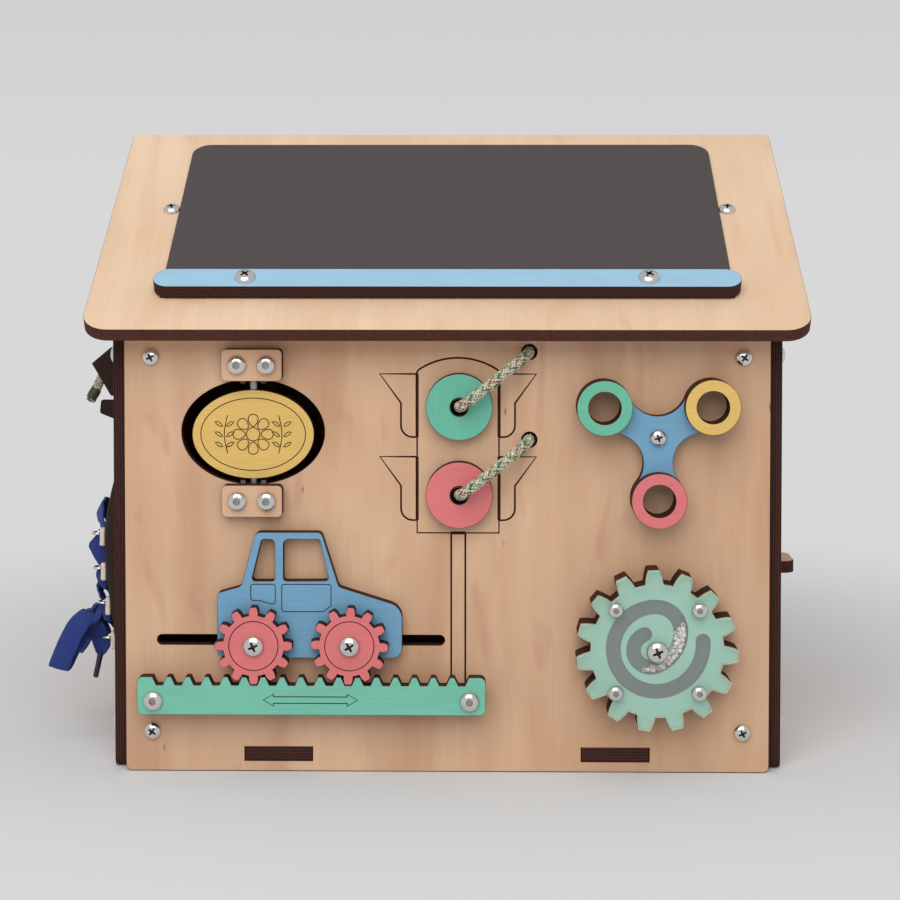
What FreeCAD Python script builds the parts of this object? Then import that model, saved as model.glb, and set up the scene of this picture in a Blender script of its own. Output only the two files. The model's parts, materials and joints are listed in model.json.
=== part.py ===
import FreeCAD, Part
import math
import os

Vec = FreeCAD.Vector

# A toy house of laser-cut plywood with play pieces on its walls, in millimetres.
# The origin is on the ground under the middle of the house: X to the right, Y to the
# back and Z up. Each wall has a drawing plane of its own, in which z points out of it.

# House
ply = 6.0
body_width = 300.0
body_depth = 250.0
wall_height = 205.0
roof_pitch = 32.2
gable_overhang = 10.0
eave_overhang = 20.0
eave_corner = 12.0
ridge_corner = 2.5
wall_corner = 3.0
side_corner = 4.0
seat_gap = 0.2

# Floor and its tabs through the front and back
floor_bottom = 4.7
tab_width = 30.0
tab_spacing = 150.8
slot_slack = 0.3

# Blocks in the corners and under the roof
block_side = 20.0
block_height = 18.0
high_block_foot = 177.0
roof_block_length = 28.0

# Wood screws
screw_shank = 3.0
screw_length = 13.0
pan_head = 8.0
pan_height = 2.6
head_rim = 0.35
head_crown = 0.3
screw_inset = 12.0
side_screw_inset = 15.0
low_screw_height = 18.0
high_screw_height = 186.0
roof_screw_up = 97.0
hole_slack = 0.3
grip = 0.02

# Chalkboard and the ledge that holds it
chalk_low = 24.0
chalk_high = 156.2
chalk_thickness = 1.0
chalk_corner = 9.0
ledge_end = 3.0
ledge_low = 23.0
ledge_high = 37.0
ledge_thickness = 6.0
ledge_corner = 6.8
ledge_screw_spacing = 180.0
ledge_screw_length = 10.5
ledge_head = 9.4

# Traffic light: two discs, each with a rope from its eyelet to a hole in the wall
disc_x = 5.6
upper_disc_z = 164.4
lower_disc_z = 125.2
disc_diameter = 29.5
eyelet_outer = 8.2
eyelet_inner = 6.7
eyelet_proud = 0.3
rope = 6.0
rope_shift_x = 31.2
rope_shift_z = 24.1
rope_hole = 7.0
knot = 13.0

# Flip sign in its oval window
sign_x = -86.4
sign_z = 151.5
sign_width = 54.4
sign_height = 39.7
window_width = 64.0
window_height = 47.0
window_z = 152.6
pin = 4.0
pin_grip = 10.0
running_gap = 0.05
bush_width = 11.6
bush_depth = 3.7
bush_ear = 2.4
bush_ear_rise = 1.9
hinge_plate_width = 27.0
hinge_plate_height = 14.2
hinge_plate_shift = 30.25
hinge_bolt_spacing = 13.0
plate_corner = 2.2

# Bolts with nuts and washers
bolt = 4.0
button_head = 9.0
button_height = 2.6
nut_flats = 7.0
nut_height = 4.0
washer = 9.0
washer_height = 1.0
float_gap = 0.3

# Three-armed spinner
spinner_x = 93.4
spinner_z = 151.2
spinner_arm = 27.4
spinner_turn = 30.5
ring_outer = 24.4
ring_inner = 14.4
spinner_waist = 9.5
spinner_head = 7.6

# Gear with a bead maze
maze_x = 92.7
maze_z = 58.0
maze_teeth = 15
maze_tip = 35.6
maze_root = 29.4
maze_tooth_foot = 8.0
maze_tooth_top = 4.9
maze_turn = 92.7
maze_bolt_shank = 5.0
maze_head = 9.8
maze_head_height = 3.0
maze_washer = 12.0
cover_thickness = 3.0
maze_screw_circle = 25.9
maze_screw_angle = 45.0
maze_screw_shank = 3.0
maze_screw_head = 7.0
maze_screw_height = 2.2
maze_screw_stop = 0.5
channel = 6.2
bead = 2.5
bead_length = 2.0
bead_gap = 0.3
bead_lift = 0.1
rope_lean = 0.8

# Rack and the tractor's two toothed wheels
tooth_pitch = 8.36
rack_teeth = 16
first_tooth_x = -122.8
rack_left_land = 14.2
rack_right_land = 14.8
rack_bottom = 28.3
rack_corner = 2.7
rack_bolt_inset = 7.2
rack_bolt_height = 6.3
spacer_width = 12.0
spacer_height = 10.0
spacer_corner = 2.0
rack_addendum = 1.97
rack_dedendum = 1.73
pressure_angle = 25.0
tooth_play = 0.4
wheel_teeth = 12
wheel_addendum = 1.23358
wheel_dedendum = 2.36642
rear_wheel_gap = 4
wheelbase = 42.4
axle_z = 59.2
wheel_head = 9.3
tractor_gap = 0.4
slot_left = -129.8
slot_right = -0.9

# Slider in the right wall
slider_z = 69.0
slider_width = 27.0
slider_reach = 25.5
slider_travel = 60.0
slider_rest = 15.0
slider_corner = 6.0
slider_tail = 20.0
keeper_width = 45.0
keeper_height = 22.0
keeper_corner = 2.0
rail_height = 8.0
rail_lip = 3.5
rail_end = 8.0

# Lacing patch on the left wall
patch_y = -78.0
patch_width = 56.0
patch_low = 28.0
patch_high = 133.0
patch_bulge = 7.0
patch_edge = 1.5
patch_lean = 1.7
hook_rows = 4
hook_pitch = 16.1
first_hook_z = 100.0
hook_reach = 15.0
hook_tab_height = 8.2
hook_tab_width = 6.0
hook_tab_thickness = 2.4
hook_ring = 6.0
hook_wire = 1.2
lace_thickness = 1.4
lace_gap = 0.3
knot_gap = 0.1
strap_end = 3.0
strap_middle = 7.0
strap_spread = 0.3
strap_clearance = 1.5
strap_step = 2.0
bow_rise = 3.5
bow_dip = 2.0
bow_taper = 1.5
lace_z = 61.0
lace_knot_size = 11.0
aglet = 3.2
aglet_length = 12.0
lace_tube = 4.0

# Leather tongues through the left wall, and the rope behind them
tongue_y = -37.0
tongue_thickness = 3.0
tongue_reach = 25.5
tie_rope = 5.0
tie_rope_y = -29.0
tie_rope_z = 182.0

half_width = body_width / 2
half_depth = body_depth / 2
inner_half_width = half_width - ply
inner_half_depth = half_depth - ply
pitch = math.radians(roof_pitch)
roof_width = body_width + 2 * gable_overhang
low_block_foot = floor_bottom + ply + seat_gap
eave_y = -(half_depth + eave_overhang)
eave_z = wall_height + ply / math.cos(pitch) - eave_overhang * math.tan(pitch)
roof_length = (half_depth + eave_overhang - ply * math.sin(pitch)) / math.cos(pitch)
up_slope = Vec(0, math.cos(pitch), math.sin(pitch))
down_back = Vec(0, -math.cos(pitch), math.sin(pitch))


def plane(origin, across, up):
    # A drawing plane: x runs along across, y along up and z out of the wall.
    out = across.cross(up)
    axes = FreeCAD.Matrix(
        across.x, up.x, out.x, origin.x,
        across.y, up.y, out.y, origin.y,
        across.z, up.z, out.z, origin.z,
        0, 0, 0, 1,
    )
    return FreeCAD.Placement(axes)


front = plane(Vec(0, -half_depth, 0), Vec(1, 0, 0), Vec(0, 0, 1))
back = plane(Vec(0, half_depth, 0), Vec(-1, 0, 0), Vec(0, 0, 1))
right = plane(Vec(half_width, 0, 0), Vec(0, 1, 0), Vec(0, 0, 1))
left = plane(Vec(-half_width, 0, 0), Vec(0, -1, 0), Vec(0, 0, 1))
front_roof = plane(Vec(0, eave_y, eave_z), Vec(1, 0, 0), up_slope)
back_roof = plane(Vec(0, -eave_y, eave_z), Vec(-1, 0, 0), down_back)

pieces = {}


def put(shape, place):
    placed = shape.copy()
    placed.Placement = place.multiply(placed.Placement)
    return placed


def add(name, solids, place=FreeCAD.Placement()):
    # One node of one or more separate solids.
    solids = solids if isinstance(solids, list) else [solids]
    placed = [put(solid, place) for solid in solids]
    pieces.setdefault(name, []).extend(placed)


def outline(corners):
    # A closed wire. A corner's third value is the radius that rounds it.
    count = len(corners)
    joints = []
    for i, corner in enumerate(corners):
        here = Vec(corner[0], corner[1], 0)
        radius = corner[2] if len(corner) > 2 else 0
        if not radius:
            joints.append((here, None, here))
            continue
        before = corners[i - 1]
        after = corners[(i + 1) % count]
        to_before = (Vec(before[0], before[1], 0) - here).normalize()
        to_after = (Vec(after[0], after[1], 0) - here).normalize()
        half = math.acos(max(-1, min(1, to_before.dot(to_after)))) / 2
        cut = radius / math.tan(half)
        towards_middle = (to_before + to_after).normalize()
        middle = here + towards_middle * (radius / math.sin(half) - radius)
        joints.append((here + to_before * cut, middle, here + to_after * cut))
    edges = []
    for i, (start, middle, end) in enumerate(joints):
        last = joints[i - 1][2]
        if last.distanceToPoint(start) > 1e-6:
            edges.append(Part.LineSegment(last, start).toShape())
        if middle is not None:
            edges.append(Part.Arc(start, middle, end).toShape())
    return Part.Wire(edges)


def rectangle(x0, x1, y0, y1, radius=0):
    return outline([(x0, y0, radius), (x1, y0, radius), (x1, y1, radius), (x0, y1, radius)])


def slab(wire, low, high):
    sheet = Part.Face(wire)
    sheet.translate(Vec(0, 0, low))
    return sheet.extrude(Vec(0, 0, high - low))


def peg(x, y, diameter, low, high):
    return Part.makeCylinder(diameter / 2, high - low, Vec(x, y, low))


def block(x0, x1, y0, y1, z0, z1):
    return Part.makeBox(x1 - x0, y1 - y0, z1 - z0, Vec(x0, y0, z0))


def drilled(solid, holes):
    # Holes are (x, y, diameter), through everything.
    tools = [peg(x, y, diameter, -100, 100) for x, y, diameter in holes]
    return solid.cut(Part.Compound(tools)).Solids[0]


def turned(points):
    # A solid turned about the z axis from (radius, height) points.
    profile = outline([(radius, height) for radius, height in points])
    profile.rotate(Vec(0, 0, 0), Vec(1, 0, 0), 90)
    return Part.Face(profile).revolve(Vec(0, 0, 0), Vec(0, 0, 1), 360)


def domed_screw(x, y, seat, head, height, shank, tip):
    # Head on its seat and shank down to the tip.
    screw = turned([
        (0, tip - seat),
        (shank / 2, tip - seat),
        (shank / 2, 0),
        (head / 2, 0),
        (head / 2, height * head_rim),
        (head * head_crown, height),
        (0, height),
    ])
    screw.translate(Vec(x, y, seat))
    return screw


def hex_nut(x, y, high):
    corner = nut_flats / math.sqrt(3)
    corners = [(x + corner * math.cos(math.radians(60 * k)),
                y + corner * math.sin(math.radians(60 * k))) for k in range(6)]
    return drilled(slab(outline(corners), high - nut_height, high), [(x, y, bolt + 2 * grip)])


def flat_washer(x, y, outer, inner, low, high):
    return peg(x, y, outer, low, high).cut(peg(x, y, inner + 2 * grip, low, high)).Solids[0]


def mirrored(x, y):
    return [(x, y), (-x, y)]


# The house ---------------------------------------------------------------------

end_screws = mirrored(inner_half_width - screw_inset, low_screw_height)
end_screws += mirrored(inner_half_width - screw_inset, high_screw_height)
side_screw_y = half_depth - side_screw_inset
side_screws = mirrored(side_screw_y, low_screw_height)
side_screws += mirrored(side_screw_y, high_screw_height)
tab_centres = [-tab_spacing / 2, tab_spacing / 2]
screw_bore = screw_shank + 2 * grip
bolt_bore = bolt + 2 * hole_slack

disc_centres = {"upper": (disc_x, upper_disc_z), "lower": (disc_x, lower_disc_z)}
rope_ends = {name: (x + rope_shift_x, z + rope_shift_z) for name, (x, z) in disc_centres.items()}

plate_centres = [(sign_x, window_z + hinge_plate_shift), (sign_x, window_z - hinge_plate_shift)]
hinge_bolts = [(x + side * hinge_bolt_spacing / 2, z) for x, z in plate_centres for side in (-1, 1)]

slot_height = bolt + 2 * hole_slack
rack_left = first_tooth_x - rack_left_land
rack_right = first_tooth_x + (rack_teeth - 1) * tooth_pitch + rack_right_land
rack_bolt_z = rack_bottom + rack_bolt_height
rack_bolts = [(rack_left + rack_bolt_inset, rack_bolt_z), (rack_right - rack_bolt_inset, rack_bolt_z)]


def end_wall():
    # Front and back walls are alike: slots for the floor's tabs and four screw holes.
    wall = slab(outline([
        (-inner_half_width, 0, wall_corner),
        (inner_half_width, 0, wall_corner),
        (inner_half_width, wall_height),
        (-inner_half_width, wall_height),
    ]), -ply, 0)
    for x in tab_centres:
        half = tab_width / 2 + slot_slack
        wall = wall.cut(slab(rectangle(x - half, x + half, floor_bottom - seat_gap,
                                       floor_bottom + ply + seat_gap), -ply, 0))
    return drilled(wall, [(x, y, screw_bore) for x, y in end_screws])


def front_wall():
    wall = end_wall()
    window = Part.Ellipse(Vec(sign_x, window_z, 0), window_width / 2, window_height / 2)
    wall = wall.cut(slab(Part.Wire(window.toShape()), -ply, 0))
    reach = window_height / 2 + bush_depth
    notch = bush_width / 2 + seat_gap
    wall = wall.cut(slab(rectangle(sign_x - notch, sign_x + notch,
                                   window_z - reach, window_z + reach), -ply, 0))
    middle = slot_height / 2
    wall = wall.cut(slab(rectangle(slot_left, slot_right, axle_z - middle,
                                   axle_z + middle, middle - 0.001), -ply, 0))
    holes = [(x, z, eyelet_outer + 2 * grip) for x, z in disc_centres.values()]
    holes += [(x, z, rope_hole) for x, z in rope_ends.values()]
    holes += [(x, z, bolt_bore) for x, z in hinge_bolts + rack_bolts]
    holes += [(spinner_x, spinner_z, bolt + 2 * grip), (maze_x, maze_z, maze_bolt_shank + 2 * grip)]
    return drilled(wall, holes)


def side_wall():
    eave = wall_height + ply * math.tan(pitch)
    ridge = wall_height + half_depth * math.tan(pitch)
    wall = slab(outline([
        (-inner_half_depth, 0, side_corner),
        (inner_half_depth, 0, side_corner),
        (inner_half_depth, eave),
        (0, ridge),
        (-inner_half_depth, eave),
    ]), -ply, 0)
    return drilled(wall, [(x, y, screw_bore) for x, y in side_screws + gable_screws])


def roof_point(up, height):
    # Where a point of the front roof's plane lies on the wall plane of the right side.
    point = front_roof.multVec(Vec(0, up, height))
    return point.y, point.z


block_middle = roof_point(roof_screw_up, -ply - block_side / 2)
gable_screws = [block_middle, (-block_middle[0], block_middle[1])]


def floor():
    sheet = slab(rectangle(-inner_half_width + seat_gap, inner_half_width - seat_gap,
                           -inner_half_depth + seat_gap, inner_half_depth - seat_gap), 0, ply)
    for x in tab_centres:
        half = tab_width / 2
        sheet = sheet.fuse(slab(rectangle(x - half, x + half, -half_depth, half_depth), 0, ply))
    return sheet.removeSplitter().Solids[0]


add("front_panel", front_wall(), front)
add("back_panel", end_wall(), back)
add("floor_panel", floor(), FreeCAD.Placement(Vec(0, 0, floor_bottom), FreeCAD.Rotation()))

roof_sheet = slab(outline([
    (-roof_width / 2, 0, eave_corner),
    (roof_width / 2, 0, eave_corner),
    (roof_width / 2, roof_length, ridge_corner),
    (-roof_width / 2, roof_length, ridge_corner),
]), -ply, 0)
roof_screws = mirrored(inner_half_width - screw_inset, roof_screw_up)
roof_sheet = drilled(roof_sheet, [(x, y, screw_bore) for x, y in roof_screws])
ledge_middle = (ledge_low + ledge_high) / 2
ledge_screws = mirrored(ledge_screw_spacing / 2, ledge_middle)
add("front_roof_panel", drilled(roof_sheet, [(x, y, screw_bore) for x, y in ledge_screws]), front_roof)
add("back_roof_panel", roof_sheet, back_roof)


def corner_blocks():
    # Eight blocks in the lower and upper corners of the end walls.
    solids = []
    for sx, sy in ((-1, -1), (1, -1), (-1, 1), (1, 1)):
        for foot, screw_z in ((low_block_foot, low_screw_height), (high_block_foot, high_screw_height)):
            x0, x1 = sorted((sx * inner_half_width, sx * (inner_half_width - block_side)))
            y0, y1 = sorted((sy * inner_half_depth, sy * (inner_half_depth - block_side)))
            solid = block(x0, x1, y0, y1, foot, foot + block_height)
            end_depth = screw_length - ply
            end_bore = Part.makeCylinder(screw_bore / 2, end_depth,
                                         Vec(sx * (inner_half_width - screw_inset), sy * inner_half_depth,
                                             screw_z), Vec(0, -sy, 0))
            side_bore = Part.makeCylinder(screw_bore / 2, end_depth,
                                          Vec(sx * inner_half_width, sy * side_screw_y, screw_z),
                                          Vec(-sx, 0, 0))
            solids.append(solid.cut(end_bore).cut(side_bore).Solids[0])
    return solids


def roof_blocks():
    # A block under each end of each roof sheet, drawn in the sheet's own plane.
    solids = []
    depth = screw_length - ply
    for side in (-1, 1):
        x0, x1 = sorted((side * inner_half_width, side * (inner_half_width - block_side)))
        solid = block(x0, x1, roof_screw_up - roof_block_length / 2,
                      roof_screw_up + roof_block_length / 2, -ply - block_side, -ply)
        down = peg(side * (inner_half_width - screw_inset), roof_screw_up, screw_bore, -ply - depth, -ply)
        across = Part.makeCylinder(screw_bore / 2, depth,
                                   Vec(side * inner_half_width, roof_screw_up, -ply - block_side / 2),
                                   Vec(-side, 0, 0))
        solids.append(solid.cut(down).cut(across).Solids[0])
    return solids


def wood_screws(places, seat=0.0, length=screw_length):
    return [domed_screw(x, y, seat, pan_head, pan_height, screw_shank, seat - length + grip)
            for x, y in places]


add("corner_blocks", corner_blocks())
add("roof_blocks", roof_blocks(), front_roof)
add("roof_blocks", roof_blocks(), back_roof)
add("end_panel_screws", wood_screws(end_screws), front)
add("end_panel_screws", wood_screws(end_screws), back)
add("side_panel_screws", wood_screws(side_screws + gable_screws), right)
add("side_panel_screws", wood_screws(side_screws + gable_screws), left)
add("roof_screws", wood_screws(roof_screws), front_roof)
add("roof_screws", wood_screws(roof_screws), back_roof)

# Chalkboard and ledge ------------------------------------------------------------

# The board fills the roof between the heads of its outer screws.
chalk_width = 2 * (inner_half_width - screw_inset - pan_head / 2)
ledge_width = chalk_width + 2 * ledge_end
board = slab(outline([
    (-chalk_width / 2, chalk_low),
    (chalk_width / 2, chalk_low),
    (chalk_width / 2, chalk_high, chalk_corner),
    (-chalk_width / 2, chalk_high, chalk_corner),
]), 0, chalk_thickness)
board = drilled(board, [(x, y, screw_bore) for x, y in ledge_screws])
ledge_top = chalk_thickness + ledge_thickness
ledge = slab(rectangle(-ledge_width / 2, ledge_width / 2, ledge_low, ledge_high, ledge_corner),
             chalk_thickness, ledge_top)
ledge = drilled(ledge, [(x, y, screw_bore) for x, y in ledge_screws])
add("chalkboard_sheet", board, front_roof)
add("chalk_ledge", ledge, front_roof)
add("ledge_screws", [domed_screw(x, y, ledge_top, ledge_head, pan_height, screw_shank,
                                 ledge_top - ledge_screw_length)
                     for x, y in ledge_screws], front_roof)

# Traffic light -------------------------------------------------------------------


def rope_tube(route, diameter):
    # Straight runs joined by tangent arcs, each as large as its two runs allow.
    points = [Vec(*point) for point in route]
    edges = []
    last = points[0]
    radii = []
    for i in range(1, len(points) - 1):
        here = points[i]
        to_before = points[i - 1] - here
        to_after = points[i + 1] - here
        cut = 0.45 * min(to_before.Length, to_after.Length)
        to_before.normalize()
        to_after.normalize()
        half = math.acos(max(-1, min(1, to_before.dot(to_after)))) / 2
        radius = cut * math.tan(half)
        radii.append(round(radius, 1))
        middle = here + (to_before + to_after).normalize() * (radius / math.sin(half) - radius)
        edges.append(Part.LineSegment(last, here + to_before * cut).toShape())
        edges.append(Part.Arc(here + to_before * cut, middle, here + to_after * cut).toShape())
        last = here + to_after * cut
    edges.append(Part.LineSegment(last, points[-1]).toShape())
    path = Part.Wire(edges)
    start = points[1] - points[0]
    section = Part.Wire(Part.makeCircle(diameter / 2, points[0], start))
    tube = path.makePipeShell([section], True, True)
    expected = math.pi * diameter ** 2 / 4 * path.Length
    print("tube length", round(path.Length, 1), "radii", radii,
          "volume ratio", round(tube.Volume / expected, 4))
    return tube.Solids[0]


# From the eyelet's mouth out, over and into the hole: along the wall and out of it.
rope_route = [(0.0, 0.5), (0.0, 8.5), (4.5, 12.8), (16.0, 13.3), (30.0, 10.0), (37.6, 5.6), (39.42, -1.5)]
rope_span = math.hypot(rope_shift_x, rope_shift_z)


def disc_rope(centre):
    x, z = centre
    route = [(x + along * rope_shift_x / rope_span, z + along * rope_shift_z / rope_span, out)
             for along, out in rope_route]
    route[-1] = (x + rope_shift_x, z + rope_shift_z, rope_route[-1][1])
    return rope_tube(route, rope)


def rope_knot(x, z, shank_top):
    # A knot drawn up against the wall's inner face, with the rope's end in the hole.
    waist = knot / 2
    ball = turned([(0, -knot), (waist * 0.7, -knot), (waist, -knot / 2), (waist * 0.7, 0), (0, 0)])
    ball.translate(Vec(x, z, -ply - seat_gap))
    return ball.fuse(peg(x, z, rope, -ply - knot / 2, shank_top)).removeSplitter().Solids[0]


eyelet_top = ply + eyelet_proud
for name, (x, z) in disc_centres.items():
    disc = drilled(slab(Part.Wire(Part.makeCircle(disc_diameter / 2, Vec(x, z, 0))), 0, ply),
                   [(x, z, eyelet_outer + 2 * grip)])
    add(name + "_disc", disc, front)
    eyelet = peg(x, z, eyelet_outer, -ply, eyelet_top).cut(peg(x, z, eyelet_inner, -ply, eyelet_top))
    add("disc_eyelets", eyelet.Solids[0], front)
    add(name + "_rope", disc_rope((x, z)), front)
    add("rope_knots", rope_knot(x, z, rope_route[0][1]), front)
    end_x, end_z = rope_ends[name]
    add("rope_knots", rope_knot(end_x, end_z, rope_route[-1][1] - rope_lean), front)

# Bolts, nuts and washers -----------------------------------------------------------


def through_bolt(x, z, seat, head, height, shank, nut_top):
    # The bolt's end stands one millimetre out of its nut.
    return domed_screw(x, z, seat, head, height, shank, nut_top - nut_height - 1)


# Flip sign -------------------------------------------------------------------------

sign_low = sign_z - sign_height / 2
sign_high = sign_z + sign_height / 2
window_low = window_z - window_height / 2
window_high = window_z + window_height / 2
pin_low = window_low - bush_depth + seat_gap
pin_high = window_high + bush_depth - seat_gap


def sign_rod(z0, z1, diameter):
    return Part.makeCylinder(diameter / 2, z1 - z0, Vec(sign_x, z0, -ply / 2), Vec(0, 1, 0))


sign = slab(Part.Wire(Part.Ellipse(Vec(sign_x, sign_z, 0), sign_width / 2, sign_height / 2).toShape()),
            -ply, 0)
pins = [(pin_low, sign_low + pin_grip), (sign_high - pin_grip, pin_high)]
for low, high in pins:
    sign = sign.cut(sign_rod(low, high, pin))
add("flip_sign", sign.Solids[0], front)
add("sign_pins", [sign_rod(low, high, pin) for low, high in pins], front)


def pin_bush(edge, outwards):
    # A bearing block in the window's edge with an ear on each side of the pin.
    half = bush_width / 2
    z0, z1 = sorted((edge, edge + outwards * bush_depth))
    solid = slab(rectangle(sign_x - half, sign_x + half, z0, z1), -ply, 0)
    e0, e1 = sorted((edge, edge - outwards * bush_ear_rise))
    for x0 in (sign_x - half, sign_x + half - bush_ear):
        solid = solid.fuse(slab(rectangle(x0, x0 + bush_ear, e0, e1), -ply, 0))
    return solid.removeSplitter().cut(sign_rod(z0, z1, pin + 2 * running_gap)).Solids[0]


add("pin_bushes", [pin_bush(window_low, -1), pin_bush(window_high, 1)], front)
plate_bolts = [(x, z, bolt_bore) for x, z in hinge_bolts]
for x, z in plate_centres:
    half_w = hinge_plate_width / 2
    half_h = hinge_plate_height / 2
    plate = rectangle(x - half_w, x + half_w, z - half_h, z + half_h, plate_corner)
    add("hinge_plates", drilled(slab(plate, 0, ply), plate_bolts), front)
    add("hinge_plates", drilled(slab(plate, -2 * ply, -ply), plate_bolts), front)
hinge_nut_top = -2 * ply
for x, z in hinge_bolts:
    add("hex_bolts", through_bolt(x, z, ply, button_head, button_height, bolt, hinge_nut_top), front)
    add("nuts_and_washers", hex_nut(x, z, hinge_nut_top), front)

# Spinner ---------------------------------------------------------------------------

spinner_low = washer_height + float_gap
spinner_top = spinner_low + ply
lobe = ring_outer / 2
# Each hollow between two arms is one arc that touches both lobes and passes the waist.
hollow = (spinner_arm ** 2 + spinner_waist ** 2 - spinner_arm * spinner_waist - lobe ** 2) / (
    2 * lobe + spinner_arm - 2 * spinner_waist)
hollow_centre = spinner_waist + hollow


def around(x, z, radius, degrees):
    angle = math.radians(degrees)
    return Vec(x + radius * math.cos(angle), z + radius * math.sin(angle), 0)


def spinner_outline():
    edges = []
    middle = Vec(spinner_x, spinner_z, 0)
    for k in range(3):
        arm = spinner_turn + 120 * k
        lobe_middle = around(spinner_x, spinner_z, spinner_arm, arm)
        arcs = []
        for side in (-60, 60):
            pit = around(spinner_x, spinner_z, hollow_centre, arm + side)
            arcs.append(lobe_middle + (pit - lobe_middle).normalize() * lobe)
        tip = around(spinner_x, spinner_z, spinner_arm + lobe, arm)
        edges.append(Part.Arc(arcs[0], tip, arcs[1]).toShape())
        next_lobe = around(spinner_x, spinner_z, spinner_arm, arm + 120)
        pit = around(spinner_x, spinner_z, hollow_centre, arm + 60)
        end = next_lobe + (pit - next_lobe).normalize() * lobe
        waist = middle + (pit - middle).normalize() * spinner_waist
        edges.append(Part.Arc(arcs[1], waist, end).toShape())
    return Part.Wire(edges)


arm_ends = [around(spinner_x, spinner_z, spinner_arm, spinner_turn + 120 * k) for k in range(3)]
finger_holes = [(p.x, p.y, ring_inner) for p in arm_ends]
bore = [(spinner_x, spinner_z, bolt + 2 * running_gap)]
add("spinner_body", drilled(slab(spinner_outline(), spinner_low, spinner_top), finger_holes + bore), front)
for name, hole in zip(("yellow_ring", "green_ring", "pink_ring"), finger_holes):
    ring = drilled(peg(hole[0], hole[1], ring_outer, spinner_top, spinner_top + ply), [hole])
    add(name, ring, front)
add("spinner_bolt", through_bolt(spinner_x, spinner_z, spinner_top + float_gap, spinner_head,
                                 pan_height, bolt, -ply), front)
add("nuts_and_washers", flat_washer(spinner_x, spinner_z, washer, bolt, 0, washer_height), front)
add("nuts_and_washers", hex_nut(spinner_x, spinner_z, -ply), front)

# Maze gear -------------------------------------------------------------------------

gear_low = washer_height + float_gap
gear_mid = gear_low + ply
gear_high = gear_mid + ply
cover_top = gear_high + cover_thickness


def toothed_wheel(x, z, teeth, turn, flank):
    # The flank is (radius, half angle) from the foot of a tooth to its tip.
    step = 2 * math.pi / teeth
    edges = []
    for k in range(teeth):
        angle = math.radians(turn) + k * step

        def at(radius, offset):
            return Vec(x + radius * math.cos(angle + offset), z + radius * math.sin(angle + offset), 0)

        foot, belly, top = flank
        rising = [at(foot[0], -foot[1]), at(belly[0], -belly[1]), at(top[0], -top[1])]
        falling = [at(top[0], top[1]), at(belly[0], belly[1]), at(foot[0], foot[1])]
        next_foot = at(foot[0], step - foot[1])
        edges.append(Part.Arc(*rising).toShape())
        edges.append(Part.LineSegment(rising[2], falling[0]).toShape())
        edges.append(Part.Arc(*falling).toShape())
        edges.append(Part.LineSegment(falling[2], next_foot).toShape())
    return Part.Wire(edges)


maze_belly = (maze_tip + maze_root) / 2
belly_width = (maze_tooth_foot + maze_tooth_top) / 2 + 0.5
maze_flank = (
    (maze_root, maze_tooth_foot / 2 / maze_root),
    (maze_belly, belly_width / 2 / maze_belly),
    (maze_tip, maze_tooth_top / 2 / maze_tip),
)
maze_wire = toothed_wheel(maze_x, maze_z, maze_teeth, maze_turn, maze_flank)
maze_screws = [around(maze_x, maze_z, maze_screw_circle, maze_screw_angle + 90 * k) for k in range(4)]
maze_holes = [(p.x, p.y, maze_screw_shank + 2 * grip) for p in maze_screws]
maze_bore = [(maze_x, maze_z, maze_bolt_shank + 2 * running_gap)]

# The channel's middle line is five arcs that all turn clockwise, from its outer end in.
# Each is (centre x, centre z, radius, start angle, end angle) about the gear's middle.
first_arc = (-0.5, 2.56, 20.76, 4.3, -90.0)
second_arc = (-0.5, 0.5, 18.7, -90.0, -270.0)
third_arc = (-0.5, 8.2, 11.0, 90.0, 0.0)
fourth_arc = (-5.8, 8.2, 16.3, 0.0, -70.0)
inner_radius = 7.5
inner_back = fourth_arc[2] - inner_radius
fifth_arc = (
    fourth_arc[0] + inner_back * math.cos(math.radians(fourth_arc[4])),
    fourth_arc[1] + inner_back * math.sin(math.radians(fourth_arc[4])),
    inner_radius, -70.0, -250.0,
)
maze_arcs = (first_arc, second_arc, third_arc, fourth_arc, fifth_arc)
# The beads lie in these arcs, each from one share of its length to another.
bead_stretches = ((third_arc, 0.68, 0.86), (fourth_arc, 0.05, 0.88), (fifth_arc, 0.05, 0.35))


def channel_point(arc, side, share):
    x, z, radius, start, end = arc
    return around(maze_x + x, maze_z + z, radius + side, start + share * (end - start))


def channel_outline(width):
    half = width / 2
    edges = []
    for arc in maze_arcs:
        edges.append(Part.Arc(*(channel_point(arc, half, s) for s in (0, 0.5, 1))).toShape())
    x, z, radius, start, end = maze_arcs[-1]
    cap_middle = channel_point(maze_arcs[-1], 0, 1)
    cap = around(cap_middle.x, cap_middle.y, half, end - 90)
    last = maze_arcs[-1]
    edges.append(Part.Arc(channel_point(last, half, 1), cap, channel_point(last, -half, 1)).toShape())
    for arc in reversed(maze_arcs):
        edges.append(Part.Arc(*(channel_point(arc, -half, s) for s in (1, 0.5, 0))).toShape())
    first = maze_arcs[0]
    cap_middle = channel_point(first, 0, 0)
    cap = around(cap_middle.x, cap_middle.y, half, first[3] + 90)
    edges.append(Part.Arc(channel_point(first, -half, 0), cap, channel_point(first, half, 0)).toShape())
    return Part.Wire(edges)


def maze_beads():
    # Two rows of short glass beads that lie in the lower turns of the channel.
    beads = []
    row = (bead + bead_gap) / 2
    low = gear_mid + bead_lift
    for arc, start, end in bead_stretches:
        for side in (-row, row):
            length = math.radians(abs(arc[4] - arc[3])) * (end - start) * (arc[2] + side)
            count = int(length / (bead + bead_gap)) + 1
            for k in range(count):
                share = start + k * (bead + bead_gap) / (arc[2] + side) / math.radians(abs(arc[4] - arc[3]))
                place = channel_point(arc, side, share)
                beads.append(peg(place.x, place.y, bead, low, low + bead_length))
    return beads


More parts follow.
